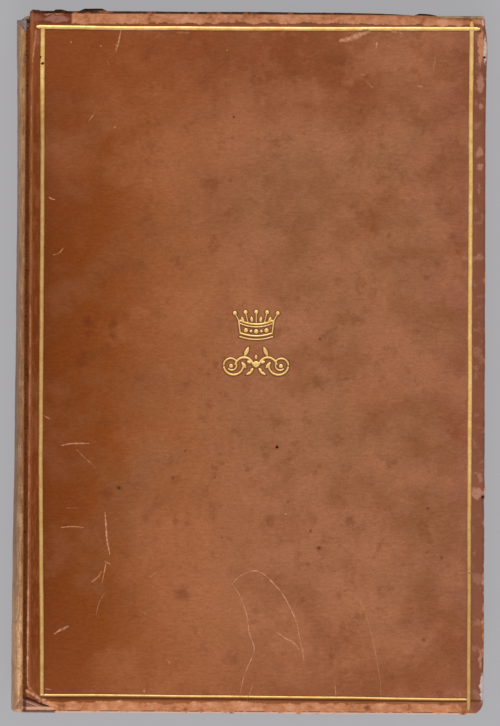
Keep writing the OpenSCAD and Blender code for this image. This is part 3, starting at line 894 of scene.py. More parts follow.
# How the front cover's worn outline departs from a straight edge: places along it, and by how much
FORE_WEAR = (
    (-99, -80, -41, -38.5, -36, -33, 0, 40, 60, 78, 84, 87, 90, 92.5, 95, 99),
    (-0.1, 0.1, 0.0, -0.1, 0.4, 0.0, 0.0, -0.1, -0.2, -0.1, 0.0, 0.25, 0.3, 0.05, -0.4, -0.55),
)
HEAD_WEAR = ((-62, -34, 1, 28, 40, 51, 56, 66), (0.3, 0.25, 0.25, 0.15, -0.2, -0.8, -1.1, -1.2))
# How far every edge wavers besides
EDGE_WAVER = 0.06
# How far the rounded back stands out more or less than at mid height
SPINE_SWELL = ((-95, -67, -25, 18, 60, 90), (0.85, 0.8, 0.3, 0.0, -0.15, 0.2))


def edge_slip(x, y, on_cover, reach_x, reach_y, front):
    """How far the worn outline of the cover strays along X and along Y."""
    near_fore = smooth(reach_x - 6, reach_x, x)
    slip_x = near_fore * EDGE_WAVER * Ripple(21 + front, 30)(y)
    near_end = on_cover * smooth(reach_y - 3, reach_y, np.abs(y))
    slip_y = near_end * EDGE_WAVER * Ripple(31 + front, 30)(x)
    slip_y = slip_y + near_end * smooth(0, 1, y) * np.interp(x, *HEAD_WEAR)
    if front:
        slip_x = slip_x + near_fore * np.interp(y, *FORE_WEAR)
    return slip_x, slip_y


# How fine the skin's grid is: anywhere, at a fillet, at the torn tail, and under the stamps
GRID, FILLET_GRID, TEAR_GRID, STAMP_GRID = 1.6, 0.14, 0.24, 0.15


def skin_places(front, reach_x, reach_y):
    """Places across the cover and along it, finer at fillets, tears and edges."""
    spine_at, fore_at, head_at, tail_at = (FILLETS[side][1] for side in ("spine", "fore", "head", "tail"))
    zones_x = [
        (spine_at - 1.0, spine_at + 1.5, FILLET_GRID), (fore_at - 1.0, fore_at + 1.0, FILLET_GRID),
        (reach_x - 3, reach_x, 0.4),
    ]
    zones_y = [
        (head_at - 1.0, head_at + 1.0, FILLET_GRID), (tail_at - 1.0, tail_at + 1.0, FILLET_GRID),
        (-reach_y, -reach_y + 5, TEAR_GRID if front else 0.5), (reach_y - 6, reach_y, 0.3),
    ]
    if front:
        zones_x.append((JOINT + RIDGE_X, JOINT + TEAR_W, TEAR_GRID))
    stops_x, stops_y = STAMP_AREA if front else ((), ())
    cover_x = spaced(JOINT + RIDGE_X, reach_x, GRID, zones_x, stops_x)
    return cover_x, spaced(-reach_y, reach_y, GRID, zones_y, stops_y)


# How far past the joint the spine's torn head end reaches
SPINE_EDGE = 0.28
# How dark the painted shade is along a fillet's rim and round a stamp's rim
FILLET_SHADE, STAMP_SHADE = -0.4, -0.45


def build_skin(name, front, material):
    """Leather of half the spine, one joint and one cover, as one sheet that bends at the joint."""
    surface = Surface()
    reach_x, reach_y = FORE - EDGE_R, HEAD - EDGE_R
    cover_x, rows = skin_places(front, reach_x, reach_y)
    profile, inward = skin_profile(cover_x)
    n_spine = len(profile) - len(cover_x)

    x = np.repeat(profile[:, :1], len(rows), axis=1)
    z = np.repeat(profile[:, 1:], len(rows), axis=1)
    y = np.repeat(rows[None, :], len(profile), axis=0)
    on_cover = smooth(JOINT + 0.15, JOINT + RIDGE_X, x)
    x, y = knock_corner(x, y, reach_x, -reach_y)
    slip_x, slip_y = edge_slip(x, y, on_cover, reach_x, reach_y, front)
    x, y = x + slip_x, y + slip_y
    is_spine = x < JOINT + SPINE_EDGE
    end = HEAD - HEAD_LOSS + 0.25 * Ripple(11 + front, 3.0)(z * 1.3 + x) - 0.35
    y = np.where(is_spine, np.minimum(y, end), y)
    z = np.where(on_cover > 0, z + cover_height(x, y, front) - TOP, z)
    depth, rim = pressed(x, y)
    z = z - np.where(on_cover > 0, 0, 0.05) - GOLD_LIFT * (depth > 0.05)

    # Slow creases of the spine, then the leather torn off at the joint's ends
    sag = 0.08 * Ripple(91, 30)(y + 2 * z) + 0.04 * Ripple(93, 4)(y)
    lean = inward[:, None, :] * (sag * smooth(JOINT, JOINT - 1.2, x))[:, :, None]
    x, z = x + lean[:, :, 0], z + lean[:, :, 1]
    x = x - np.interp(y, *SPINE_SWELL) * np.clip((JOINT - 0.8 - x) / (SPINE_OUT - 0.8), 0, 1)
    torn = np.zeros_like(x)
    if front:
        tail_tear, head_tear = torn_tail(x, y), torn_head(x, y)
        fold = (((y - TAIL) + 0.42 * (x - JOINT)) / 1.25) % 1
        shallow = 1 - 0.7 * between(x - JOINT, -0.8, 0.3, 0.5)
        z = z - tail_tear * shallow * (0.42 + 0.2 * np.abs(fold - 0.5))
        z = z - head_tear * (0.5 + 0.2 * Ripple(63, 1.4)(x + y))
        torn = np.maximum(tail_tear, head_tear)

    # The mark here is the painted shade along the fillets' rims
    main = surface.add(np.stack([x, y, z], axis=2), torn=torn, mark=FILLET_SHADE * rim * (1 - torn))
    keep = np.ones((len(profile) - 1, len(rows) - 1), bool)
    if front:
        (x0, x1), (y0, y1) = STAMP_AREA
        mid_x = (profile[:-1, :1] + profile[1:, :1]) / 2
        mid_y = (rows[None, :-1] + rows[None, 1:]) / 2
        keep = ~((mid_x > x0) & (mid_x < x1) & (mid_y > y0) & (mid_y < y1))
    surface.grid(main, keep)
    wrap_edges(surface, main, n_spine, front)
    close_spine(surface, main, profile[:, 0], inward, n_spine)
    if front:
        press_stamps(surface)
    return surface.make(name, material, mirror=not front, clouded=front)


# Bits of leather that stick out, dark, from under the front cover's head edge: from pixel to pixel, and
# how far, along the scan's row of that edge
HEAD_FLAPS = ((33, 38, 0.4), (56, 64, 0.6), (82, 102, 1.0), (418, 435, 0.9))
HEAD_ROW = 12


def flap_lift(x):
    """How far the leather under the head edge sticks out at a place along it."""
    spans = [(on_book(a, HEAD_ROW)[0], on_book(b, HEAD_ROW)[0], share) for a, b, share in HEAD_FLAPS]
    return max(share * between(x, low, high, 0.8) for low, high, share in spans)


# Depths of the points down the flat of a cover's edge
EDGE_LEVELS = (1.4, 1.9, 2.5)


def rim_steps():
    """Outward reach and depth of the points that wrap the edge of a cover."""
    steps = [(EDGE_R * math.sin(a), EDGE_R * (1 - math.cos(a))) for a in np.radians([18, 36, 54, 72, 90])]
    steps += [(EDGE_R, depth) for depth in (*EDGE_LEVELS, COVER_T - UNDER_R)]
    steps += [
        (EDGE_R - UNDER_R * (1 - math.cos(a)), COVER_T - UNDER_R * (1 - math.sin(a)))
        for a in np.radians([30, 60, 90])
    ]
    return steps


def rim_share(x):
    """How far down the turned edge reaches across the joint, where it is only folded leather."""
    off = np.abs(x - JOINT)
    return 0.34 + 0.66 * (smooth(0.13, 0.55, off) if x > JOINT else smooth(0.6, 1.9, off))


def wrap_edges(surface, main, n_spine, front):
    """Wraps the sheet round head, fore edge and tail of the cover, in to the turn-ins."""
    points = np.concatenate(surface.points)
    first = n_spine - RIM_COLUMNS
    n_cols, n_rows = main.shape
    path = [(main[i, -1], (0, 1)) for i in range(first, n_cols)]
    path += [(main[-1, -1], (math.sin(a), math.cos(a))) for a in np.radians([22, 45, 68])]
    path += [(main[-1, j], (1, 0)) for j in range(n_rows - 1, -1, -1)]
    path += [(main[i, 0], (0, -1)) for i in range(n_cols - 2, first - 1, -1)]
    centre = np.array([FORE - KNOCKED_R, TAIL + KNOCKED_R])
    window_x = FORE - TURN_IN_W
    tooth = Ripple(101 + front, 2.2)
    columns, torn, dark = [], [], []
    for index, normal in path:
        at = points[index]
        out = np.array(normal, float)
        away = at[:2] - centre
        if away[0] > 0.01 and away[1] < -0.01:
            out = away / np.linalg.norm(away)
        ring = [at]
        window_y = HEAD - 3 - (TURN_IN_W - 3) * smooth(JOINT + 0.8, JOINT + 2.5, at[0])
        lift = flap_lift(at[0]) if front and normal[1] == 1 else 0.0
        share = rim_share(at[0])
        under = TOP - COVER_T * share
        for reach, depth in rim_steps():
            depth *= share
            rough = EDGE_WAVER * tooth(at[0] + at[1] + depth) * smooth(0, 0.6, depth)
            rough = rough + 0.7 * lift * between(depth, 0.9, 1.9, 0.6)
            ring.append([*(at[:2] + out * (reach + rough)), min(at[2], TOP) - depth])
        inner = np.array([min(at[0], window_x), np.clip(at[1], -window_y, window_y), under])
        ring.append(ring[-1] + (inner - ring[-1]) * 0.25)
        ring[-1][2] = under
        ring.append(inner)
        ring.append(inner + [0, 0, TURN_IN_T])
        columns.append(ring)
        torn.append(surface.numbers["torn"][index])
        dark.append([-1.6 * lift * between(k, 5, 10, 2) for k in range(len(ring))])
    fade = np.sqrt(np.linspace(1, 0, len(columns[0])))
    index = surface.add(np.array(columns), torn=np.array(torn)[:, None] * fade[None, :], mark=np.array(dark))
    surface.grid(index)


# How the spine's torn head end turns in: share of the way inward, and shift
HEAD_TURN = ((0.2, (0, 0.12, 0)), (0.5, (0, 0.05, 0)), (0.66, (0, -3, 0)))
# How far the turned tail end keeps from the joint
CAP_CLEAR = BEND_HALF + 0.15


def close_spine(surface, main, profile_x, inward, n_spine):
    """Turns the skin in over the tailband, clear of the joint, and gives its torn head end a thickness."""
    points = np.concatenate(surface.points)
    caps, ends = [], []
    for i in range(n_spine - RIM_COLUMNS + 1):
        tail, head = points[main[i, 0]], points[main[i, -1]]
        inn = np.array([inward[i, 0], 0, inward[i, 1]])
        ends.append([head] + [head + inn * share + shift for share, shift in HEAD_TURN])
        inn += (np.array([0, 0, -1]) - inn) * smooth(n_spine - 14, n_spine - 8, i)
        inn *= rim_share(profile_x[i]) / np.linalg.norm(inn)
        room = max(JOINT - CAP_CLEAR - tail[0], 0)
        inn[0] *= min(1, room / max(inn[0] * COVER_T, 1e-6))
        caps.append([tail] + [tail + [0, -reach, 0] + inn * drop for reach, drop in rim_steps()])
    surface.grid(surface.add(np.array(caps)), flip=True)
    surface.grid(surface.add(np.array(ends), torn=np.array([[0.3, 1.0, 1.0, 0.8]])))


def films_tree(*nodes):
    """Search tree over the gold of some nodes, in millimetres."""
    points, faces = [], []
    for node in nodes:
        mesh = frame["nodes"][node].data
        base = len(points)
        points += [tuple(v.co / MM) for v in mesh.vertices]
        faces += [[base + k for k in p.vertices] for p in mesh.polygons]
    return BVHTree.FromPolygons(points, faces)


def press_stamps(surface):
    """Fine piece of the cover under the stamps, pressed in wherever there is gold, with painted shade round
    the gold.
    """
    xs, ys = (np.linspace(low, high, int((high - low) / STAMP_GRID)) for low, high in STAMP_AREA)
    tree = films_tree("gilt_coronet", "gilt_scroll")
    level = cover_height(xs[:, None], ys[None, :], True)
    gaps = np.ones((len(xs), len(ys)))
    for i, px in enumerate(xs):
        for j, py in enumerate(ys):
            gap = tree.find_nearest(Vector((px, py, STAMP_TOP)), 1.0)[3]
            if gap is not None:
                gaps[i, j] = gap
    bottom = level - (level - STAMP_RIM + GOLD_LIFT) * smooth(0.3, 0.05, gaps)
    bottom = bottom - STAMP_HOLLOW * smooth(0.1, 0, gaps)
    places = np.broadcast_arrays(xs[:, None], ys[None, :], bottom)
    # Painted shade darkens the leather round the gold
    surface.grid(surface.add(np.stack(places, axis=2), mark=STAMP_SHADE * smooth(0.55, 0.15, gaps)))


# Gilding and marks on the skin

def smooth_path(points, step):
    """Points step apart on a smooth curve through the given ones."""
    points = np.array(points, float)
    padded = np.vstack([2 * points[0] - points[1], points, 2 * points[-1] - points[-2]])
    path = []
    for p0, p1, p2, p3 in zip(padded, padded[1:], padded[2:], padded[3:]):
        count = max(2, int(np.linalg.norm(p2 - p1) / step))
        for t in np.arange(count) / count:
            path.append(0.5 * (
                2 * p1 + (p2 - p0) * t + (2 * p0 - 5 * p1 + 4 * p2 - p3) * t ** 2
                + (3 * p1 - p0 - 3 * p2 + p3) * t ** 3
            ))
    return np.array(path + [points[-1]])


def ribbon(surface, path, half, height, across=(-1, 0, 1), **numbers):
    """Lays a strip along a path on the cover. half and height may vary along it."""
    run = np.gradient(path, axis=0)
    run /= np.linalg.norm(run, axis=1)[:, None]
    side = np.stack([run[:, 1], -run[:, 0]], axis=1)
    u = np.array(across, float)
    places = path[:, None, :] + side[:, None, :] * (u[None, :] * half[:, None])[:, :, None]
    z = height(places[:, :, 0], places[:, :, 1], u)
    index = surface.add(np.concatenate([places, z[:, :, None]], axis=2), **numbers)
    surface.grid(index, flip=True)


# How much the gold of a fillet has lost its shine, how much painted shade darkens its lower side, and how
# much duller it is to one end, from where to where along it
GOLD_DULL_AND_SHADE = {
    "spine": (0.42, 0.0, -0.45, 66, 84),
    "fore": (0.08, 0.0, 0.4, 0, -70),
    "head": (-0.1, 0.15, 0.0, 0, 1),
    "tail": (0.58, 0.6, 0.0, 0, 1),
}


def build_border(name, front):
    """Gold of the four fillets, hollow like the lines that the tool pressed."""
    surface = Surface()
    for k, (side, (along_y, place, start, end, half)) in enumerate(FILLETS.items()):
        along = np.arange(start, end, 0.9)
        over = place + fillet_shift(side, along)
        path = np.stack([over, along] if along_y else [along, over], axis=1)
        breadth = half * (0.93 + 0.06 * Ripple(110 + k, 7)(along))
        breadth[[0, -1]] *= 0.55
        lift = 0.002 * k
        u = np.linspace(-1, 1, 9)
        base, lean, more, near_end, far_end = GOLD_DULL_AND_SHADE[side]
        # Painted shade on the lower side and along both edges of the hollow, on top of the worn gold's loss
        # of shine
        fade = base + lean * u[None, :] + 0.5 * np.abs(u[None, :]) ** 3
        fade = fade + more * smooth(near_end, far_end, along)[:, None]

        def height(x, y, u, lift=lift):
            return cover_height(x, y, front) + lift

        ribbon(surface, path, breadth, height, across=u, dull=fade)
    return surface.make(name, line_gold, mirror=not front)


# Longest edge of a stamp's faces, the rounds that cut them down to it, and how far the gold dishes inwards
STAMP_EDGE, STAMP_ROUNDS, DISH_W = 0.2, 7, 0.26


def build_stamp(node):
    """Gold of a stamp in the outline of its CAD film, dished between its edges like tooled leather."""
    bm = bmesh.new()
    bm.from_mesh(frame["nodes"][node].data)
    off = [f for f in bm.faces if f.calc_center_median().z < (STAMP_TOP - 0.01) * MM]
    bmesh.ops.delete(bm, geom=off, context="FACES")
    bmesh.ops.triangulate(bm, faces=bm.faces)
    for _ in range(STAMP_ROUNDS):
        long_edges = [e for e in bm.edges if e.calc_length() > STAMP_EDGE * MM]
        bmesh.ops.subdivide_edges(bm, edges=long_edges, cuts=1)
        bmesh.ops.triangulate(bm, faces=[f for f in bm.faces if len(f.verts) > 3])
    borders = [e.verts for e in bm.edges if e.is_boundary]
    rim = [a.co.lerp(b.co, t) for a, b in borders for t in (0, 0.25, 0.5, 0.75)]
    tree = KDTree(len(rim))
    for k, place in enumerate(rim):
        tree.insert(place, k)
    tree.balance()
    surface = Surface()
    bm.verts.index_update()
    points = np.array([v.co for v in bm.verts]) / MM
    inset = np.array([tree.find(v.co)[2] for v in bm.verts]) / MM
    points[:, 2] = STAMP_RIM - STAMP_HOLLOW * smooth(0, DISH_W, inset) * 0.8
    # Painted shade darkens the gold along the stamp's edges
    surface.add(points, dull=0.5 * smooth(0.1, 0, inset))
    surface.faces.append(np.array([[v.index for v in f.verts] for f in bm.faces]))
    bm.free()
    return surface.make("pressed_" + node, stamp_gold)


# Scratches and scuffs of the front cover: half breadth in millimetres, strength, pixels of the scan
SCRATCHES = (
    (0.20, 0.85, (121, 30), (118.5, 42), (115.6, 52.6)), (0.30, 0.45, (117.5, 42), (116, 51)),
    (0.16, 0.6, (95.7, 111), (92, 116.5), (88.5, 121)),
    (0.70, 0.75, (339, 41), (352, 38), (362, 33.5), (370, 31)),
    (0.3, 0.9, (376.8, 42), (376.6, 45), (376, 48.6)), (0.2, 0.6, (388, 45), (389.5, 47)),
    (0.3, 0.5, (398, 30.5), (403, 35)), (0.35, 0.4, (391, 31.5), (397, 32)),
    (0.3, 0.35, (176, 32.5), (190, 32.6)), (0.22, 0.4, (435.7, 57), (434.5, 65), (433, 72)),
    (0.3, 0.4, (361, 74), (366, 75)), (0.3, 0.45, (367, 82), (373, 88)),
    (0.35, 0.6, (418, 85.8), (423, 86.6)), (0.18, 0.75, (49, 197), (52, 199), (55, 199.5)),
    (0.13, 0.7, (53, 255), (59, 253), (63.8, 247.6)), (0.15, 0.75, (43, 415), (50, 419)),
    (0.22, 0.75, (61, 445.5), (72, 443.5), (89, 443.5)), (0.2, 0.4, (76, 449), (84, 457), (96, 468)),
    (0.18, 0.4, (66, 508), (78, 508)), (0.15, 0.85, (61, 527.5), (72, 526.5), (84, 527.5)),
    (0.22, 0.85, (105, 512), (106, 526), (107, 540), (110, 555)), (0.16, 0.8, (104.4, 561), (110.8, 564.6)),
    (0.14, 0.8, (106, 563), (104, 573), (102, 583)), (0.3, 0.75, (91.5, 582), (99, 576), (101.5, 571)),
    (0.13, 0.5, (105, 592), (99, 603), (96, 615)), (0.3, 0.75, (54, 634), (61, 629.5), (69, 626)),
    (0.2, 0.6, (60, 630), (66, 629)), (0.3, 0.6, (44.6, 688.6), (51, 689.6)),
    (0.14, 0.8, (231, 585), (240, 576), (252, 571), (262, 573), (274, 584), (285, 598), (296, 621),
     (300, 640)),
    (0.12, 0.5, (300, 640), (303, 655), (304, 661)),
    (0.12, 0.75, (232, 584), (240, 596), (247, 616), (249, 632), (253, 643), (254, 652), (248, 666),
     (243, 680), (240, 696)),
    (0.18, 0.8, (277, 632), (285, 638), (291, 641), (296, 645), (299, 650)),
    (0.14, 0.6, (303, 648), (304, 662)), (0.14, 0.5, (254, 682), (247, 700)),
    (0.16, 0.4, (354, 594), (362, 605), (370, 628), (376, 656), (380, 680), (381, 697)),
    (0.16, 0.6, (334.5, 680), (336, 696)), (0.12, 0.45, (457, 572.5), (470, 573.2), (482, 574)),
    (0.2, 0.4, (472, 473), (480, 473)), (0.2, 0.4, (458, 690), (462, 698)),
    (0.12, 0.3, (283, 80), (283.5, 105)), (0.2, 0.35, (107, 60), (110, 66)),
    (0.30, 0.45, (167, 659), (170, 664)), (0.2, 0.4, (150, 577), (158, 571)),
    (0.4, 0.3, (139, 610), (148, 615)), (0.28, 0.6, (36.2, 29), (35, 40), (33.8, 50), (32.6, 62)),
    (0.14, 0.4, (32.4, 60), (31.6, 100), (31.2, 145)), (0.12, 0.35, (31.2, 145), (31, 220), (30.6, 290)),
    (0.14, 0.5, (30.4, 290), (30, 360), (29.4, 435)), (0.14, 0.5, (29.3, 435), (28.8, 510), (28.3, 580)),
    (0.2, 0.9, (28.3, 575), (27.9, 630), (27.5, 670), (27.8, 686)),
    (0.55, 0.75, (25.5, 690), (33, 694.5), (41, 699), (50, 703.3), (58, 707)),
    (0.3, 0.6, (27.5, 682), (30.5, 689), (36, 694)),
    (0.28, 0.35, (478, 34), (478.2, 48), (479.5, 62), (480.5, 68)),
)
# Small dark specks and pale nicks: pixel of the scan, radius in millimetres, strength
SPECKS = (
    (234, 117, 0.45, -0.5), (320, 339, 0.4, -0.5), (277, 447, 0.40, -1.2), (288, 502, 0.4, -0.4),
    (310.6, 531, 0.45, -0.5), (427.8, 508.8, 0.5, -0.45), (318.6, 547.8, 0.5, -0.5),
    (306.6, 563.8, 0.5, -0.35), (441.3, 557.7, 0.5, -0.45), (427, 552.6, 0.45, -0.35),
    (331.3, 664, 0.4, -0.35), (331, 648, 0.35, -0.35), (423.8, 640, 0.5, -0.4), (185, 451, 0.5, -0.4),
    (173, 478, 0.5, -0.45), (215, 477, 0.5, -0.35), (222, 537, 0.5, -0.35), (484.3, 57.5, 0.35, -1.2),
    (119, 488, 0.45, -0.6), (482.6, 497, 0.45, -1.1), (40.5, 57, 0.25, -0.9), (42.5, 63.5, 0.3, -0.9),
    (227, 50, 0.2, 0.5), (448, 66, 0.3, -0.3), (71, 42, 0.28, 0.5), (101, 46, 0.3, 0.45),
    (115, 127, 0.35, 0.4), (286, 514, 0.28, 0.6), (144, 691, 0.35, 0.5),
)


# How far marks stand over the leather at their sides, how much more in the middle, and how far their fading
# sides reach, in half breadths
MARK_LIFT, MARK_SWELL, MARK_REACH = 0.012, 0.02, 1.5
# How far the full dark of a speck reaches, as a share of its radius
SPECK_CORE = 0.55


def build_marks():
    """Scratches, scuffs and specks: thin roughened strips a hair above the leather."""
    surface = Surface()
    profile = np.linspace(-MARK_REACH, MARK_REACH, 5)

    def height(x, y, u):
        return cover_height(x, y, True) + MARK_LIFT + MARK_SWELL * (1 - np.abs(u) / MARK_REACH)

    for k, (half, strength, *pixels) in enumerate(SCRATCHES):
        path = smooth_path([on_book(*p) for p in pixels], 0.55)
        share = np.linspace(0, 1, len(path))
        taper = np.sqrt(np.clip(np.sin(math.pi * (0.06 + 0.88 * share)), 0, 1))
        jag = 0.75 + 0.45 * Ripple(200 + k, 2.1)(share * 20)
        line = np.array([0, 0.8, 1, 0.8, 0]) * strength
        fade = 0.75 + 0.4 * Ripple(300 + k, 3.7)(share * 20)
        mark = line[None, :] * fade[:, None]
        ribbon(surface, path, 1.3 * half * taper * jag, height, across=profile, mark=mark)
    for k, (px, py, radius, strength) in enumerate(SPECKS):
        centre = np.array(on_book(px, py))
        dice = random.Random(400 + k)
        angles = np.linspace(0, 2 * math.pi, 13)
        bumps = np.array([dice.uniform(0.7, 1.25) for _ in angles[:-1]] + [0])
        bumps[-1] = bumps[0]
        rays = np.stack([np.cos(angles), np.sin(angles)], 1)
        for inner, outer in ((0.0, SPECK_CORE), (SPECK_CORE, MARK_REACH)):
            reach = np.array([inner, outer]) * radius
            spot = centre + rays[:, None] * (bumps[:, None] * reach)[:, :, None]
            z = height(spot[:, :, 0], spot[:, :, 1], np.array([inner, outer]))
            mark = np.array([[1, 1 if outer < 1 else 0]]) * strength
            index = surface.add(np.concatenate([spot, z[:, :, None]], axis=2), mark=mark)
            surface.grid(index, flip=True)
    return surface.make("scratches", calf_front, clouded=True)


# Leaves, endbands and the folds of the endpapers

# Leaves: how many levels are drawn, the hollow of the fore edge, how far the folds are rounded, and how far
# leaves stray one by one, in gathers and along their edges
LEAF_LEVELS, HOLLOW, ROUNDING = 100, 2.2, 1.1
LEAF_STRAY, GATHER_STRAY, EDGE_STRAY = 0.05, 0.07, 0.05


def build_leaves():
    """The sewn leaves: every few leaves a little out of line, a hollow fore edge, backed folds."""
    surface = Surface()
    z_low, z_high = box_mm("back_flyleaf")[1][2], flyleaf_low[2]
    flare = (block_high[2] - MID) / (z_high - MID)
    levels = np.linspace(z_low, z_high, LEAF_LEVELS)
    width = block_high[0] - JOINT
    gather, wave = Ripple(120, 2.4, octaves=3), Ripple(122, 60, octaves=3)
    dice = random.Random(121)
    loops = []
    for level in levels:
        loose = dice.uniform(-1, 1)
        drop = abs(level - MID) / (z_high - MID)
        hollow = HOLLOW * (1 - drop ** 2)
        fold_x = block_low[0] + ROUNDING * drop ** 2.5
        shoulder = MID + (level - MID) * flare
        head = [(fold_x, shoulder), (JOINT - 0.9, shoulder), (JOINT + 0.02, shoulder), (JOINT + 0.1, level)]
        head += [(JOINT + s * width, level) for s in (0.05, 0.2, 0.4, 0.6, 0.8, 0.95)]
        head += [(block_high[0] - hollow, level)]
        nudge = LEAF_STRAY * loose + GATHER_STRAY * gather(level)
        loop = []
        for px, pz in head:
            stray = nudge * smooth(0, 4, px - JOINT) + EDGE_STRAY * wave(px)
            loop.append((px, block_high[1] - 0.1 + stray, pz))
        for py in np.linspace(block_high[1], block_low[1], 64)[1:-1]:
            stray = nudge + EDGE_STRAY * wave(py + 9 * level)
            loop.append((block_high[0] - hollow - 0.05 + stray, py, level))
        loop += [(px, -py, pz) for px, py, pz in loop[: len(head)][::-1]]
        loops.append(loop + [loop[0]])
    index = surface.add(np.array(loops))
    surface.grid(index)
    for row, turned in ((-1, False), (0, True)):
        ring = index[row, :-1]
        ends = np.stack([ring[: len(head)], ring[::-1][: len(head)]])
        surface.grid(ends, flip=turned)
        fore = list(ring[len(head) - 1 : len(ring) - len(head) + 1])
        surface.face(fore if turned else fore[::-1])
    return surface.make("leaves", leaf_paper)


# Endband: points along it and round it, one turn of the thread along Z, and how deep its furrows are
BAND_STEPS, BAND_ROUND, THREAD_TURN, FURROW = 260, 25, 0.62, 0.10


def build_endband(name, sign):
    """Thread wound round a core that bows with the spine, two light turns to each dark one."""
    surface = Surface()
    radius = (headband_high[1] - headband_low[1]) / 2
    z_low, z_high = headband_low[2], headband_high[2]
    bow = (headband_high[0] - headband_low[0]) - 2 * radius
    rings = []
    steps = np.linspace(z_low + 0.05, z_high - 0.05, BAND_STEPS)
    for z in steps:
        x = headband_high[0] - radius - bow * (1 - ((z - MID) / (z_high - MID)) ** 2)
        ring = []
        for a in np.linspace(0, 2 * math.pi, BAND_ROUND):
            wound = (z / THREAD_TURN + 0.12 * math.cos(a)) % 1
            swell = radius * (1 - FURROW + FURROW * math.sqrt(1 - (2 * wound - 1) ** 2))
            y = headband_low[1] + radius + swell * math.sin(a)
            ring.append((x + swell * math.cos(a), sign * y, z))
        rings.append(ring)
    dark = np.array([1.0 if int(z / THREAD_TURN) % 3 == 0 else 0.0 for z in steps])
    index = surface.add(np.array(rings), thread=dark[:, None])
    surface.grid(index, flip=sign > 0)
    for row in (0, -1):
        ring = list(index[row, :-1])
        surface.face(ring[::-1] if (row == 0) == (sign > 0) else ring)
    return surface.make(name, thread)


def build_fold(name, front):
    """The endpaper's fold in the inner joint, from the free leaf up the shoulder to the cover."""
    surface = Surface()
    leaf, cover = flyleaf_high[2] + 0.02, pastedown_low[2] - 0.02
    shoulder = block_high[2]
    section = [
        (1.6, leaf), (0.30, leaf), (0.17, leaf + 0.25),
        (0.15, shoulder - 1.0), (0.17, shoulder - 0.1), (0.25, shoulder + 0.3),
        (0.34, shoulder + 0.3), (0.42, shoulder - 0.1), (0.44, shoulder - 1.0),
        (0.47, cover + 0.2), (0.62, cover), (1.7, cover),
    ]
    ys = np.linspace(block_low[1] + 0.3, block_high[1] - 0.3, 40)
    points = [[(JOINT + sx, y, sz) for y in ys] for sx, sz in section]
    surface.grid(surface.add(np.array(points)), flip=True)
    return surface.make(name, fold_paper, mirror=not front)


# Everything on its body

def bend(obj, side, start, end):
    """Bakes a piece's transform into its mesh. The places across the joint are worked out and left unused.
    """
    (JOINT + start) * MM
    (JOINT + end) * MM
    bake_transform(obj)


def dress(node, material):
    """Gives a CAD node a new finish."""
    slots = frame["nodes"][node].data.materials
    slots.clear()
    slots.append(material)


def build_book():
    for side, material in (("front", calf_front), ("back", calf_back)):
        front = side == "front"
        skin = build_skin("calf_" + side, front, material)
        bend(skin, side, -BEND_HALF, BEND_HALF)
        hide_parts(side + "_leather")
        if front:
            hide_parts("spine_leather")
        border = build_border("gilt_fillets_" + side, front)
        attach(border, side + "_cover")
        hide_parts(side + "_gilt_border")
        fold = build_fold("endpaper_fold_" + side, front)
        bend(fold, side, *FOLD_BEND)
    for node in ("gilt_coronet", "gilt_scroll"):
        stamp = build_stamp(node)
        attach(stamp, "front_cover")
        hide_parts(node)
    marks = build_marks()
    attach(marks, "front_cover")
    leaves = build_leaves()
    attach(leaves, "book_block")
    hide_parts("text_block")
    for node, sign in (("headband", 1), ("tailband", -1)):
        band = build_endband(node + "_thread", sign)
        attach(band, "book_block")
        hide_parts(node)
    finishes = {
        end_paper: ("front_flyleaf", "back_flyleaf", "front_pastedown", "back_pastedown"),
        board: ("front_board", "back_board"),
        hemp: ("front_cord_slips", "back_cord_slips") + tuple(f"sewing_cord_{k}" for k in range(1, 6)),
        lining: ("spine_lining",),
    }
    for material, nodes in finishes.items():
        for node in nodes:
            dress(node, material)


# Floor, lights and camera

# Grey that the camera sees, and how much of it covers the floor's own shading
FLOOR_GREY = srgb(171, 170, 173)
FLOOR_EVEN = 0.86
# Half the floor's width and the lamp's place and width, in metres, and the strengths of lamp and room
FLOOR_HALF = 3.0
LAMP_PLACE, LAMP_SIZE, LAMP_POWER = (0.0, -1.35, 1.7), 0.8, 26
ROOM_LIGHT = 0.58
# Sensor and long lens of the camera, in millimetres
SENSOR, LENS = 36.0, 600.0


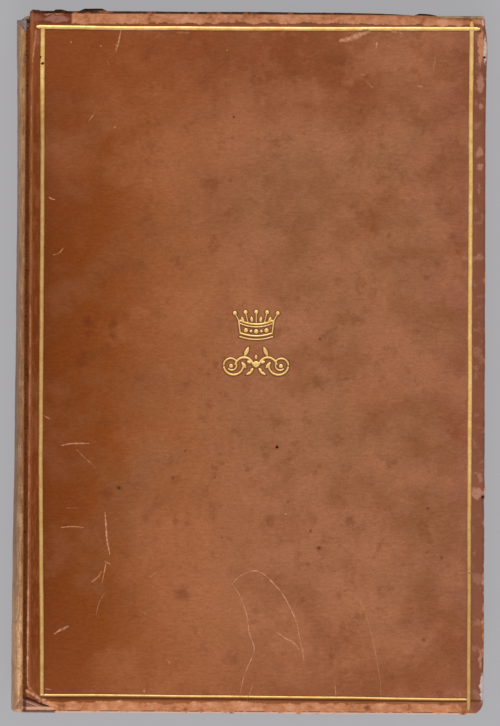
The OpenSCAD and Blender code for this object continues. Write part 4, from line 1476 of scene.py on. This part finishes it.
def build_floor():
    """A pale floor that the camera sees as even grey, with a trace of the book's shadow.

    It is clear from below, so that the back cover can be looked at too.
    """
    net = Net("floor_paint")
    net.feed(net.shader.inputs["Base Color"], srgb(196, 195, 199))
    net.feed(net.shader.inputs["Roughness"], 0.9)
    net.feed(net.shader.inputs["Specular IOR Level"], 0.1)
    glow = net.node("Emission", {"Color": FLOOR_GREY, "Strength": 1.0})
    path = net.tree.nodes.new("ShaderNodeLightPath")
    seen = Value(net, path.outputs["Is Camera Ray"]) | Value(net, path.outputs["Is Glossy Ray"])
    seen = seen | Value(net, path.outputs["Is Transmission Ray"])
    shade = Value(net, net.shader.outputs[0])
    mixed = net.node("MixShader", {0: seen * FLOOR_EVEN, 1: shade, 2: glow})
    below = net.node("NewGeometry", {}, out=6)
    mixed = net.node("MixShader", {0: below, 1: mixed, 2: net.node("BsdfTransparent", {})})
    net.feed(net.tree.nodes["Material Output"].inputs["Surface"], mixed)
    corners = [(x * FLOOR_HALF, y * FLOOR_HALF, 0) for x, y in ((-1, -1), (1, -1), (1, 1), (-1, 1))]
    mesh = bpy.data.meshes.new("floor")
    mesh.from_pydata(corners, [], [(0, 1, 2, 3)])
    mesh.materials.append(net.material)
    obj = bpy.data.objects.new("floor", mesh)
    bpy.context.scene.collection.objects.link(obj)


def area_light(name, location, size, power):
    """Soft square light aimed at the book."""
    data = bpy.data.lights.new(name, "AREA")
    data.shape, data.size, data.energy = "SQUARE", size, power
    obj = bpy.data.objects.new(name, data)
    bpy.context.scene.collection.objects.link(obj)
    obj.location = location
    obj.rotation_euler = (Vector((0, 0, TOP * MM)) - obj.location).to_track_quat("-Z", "Y").to_euler()


def build_lights():
    """The scanner's lamp shines up the page from the tail, and the room fills in evenly.

    The camera sees the room's wall in the floor's grey.
    """
    area_light("lamp", LAMP_PLACE, LAMP_SIZE, LAMP_POWER)
    world = bpy.data.worlds.new("room")
    world.use_nodes = True
    tree = world.node_tree
    background = tree.nodes["Background"]
    background.inputs["Color"].default_value = (1, 1, 1, 1)
    background.inputs["Strength"].default_value = ROOM_LIGHT
    wall = tree.nodes.new("ShaderNodeBackground")
    wall.inputs["Color"].default_value = FLOOR_GREY
    path, chosen = tree.nodes.new("ShaderNodeLightPath"), tree.nodes.new("ShaderNodeMixShader")
    tree.links.new(path.outputs["Is Camera Ray"], chosen.inputs[0])
    tree.links.new(background.outputs[0], chosen.inputs[1])
    tree.links.new(wall.outputs[0], chosen.inputs[2])
    tree.links.new(chosen.outputs[0], tree.nodes["World Output"].inputs["Surface"])
    bpy.context.scene.world = world


def build_camera():
    """Long lens straight above the cover, at the scan's scale and slight turn."""
    data = bpy.data.cameras.new("camera")
    data.sensor_width, data.sensor_fit, data.lens = SENSOR, "AUTO", LENS
    distance = 2 * SCAN_MIDDLE[1] * SCAN_PIXEL * data.lens / data.sensor_width
    obj = bpy.data.objects.new("camera", data)
    bpy.context.scene.collection.objects.link(obj)
    obj.location = (0, SCAN_Y * MM, (TOP + distance) * MM)
    obj.rotation_euler = (0, 0, SCAN_TURN)
    data.clip_start, data.clip_end = 0.1, 20
    bpy.context.scene.camera = obj


build_book()
build_floor()
build_lights()
build_camera()
bpy.context.scene.view_settings.view_transform = "Standard"
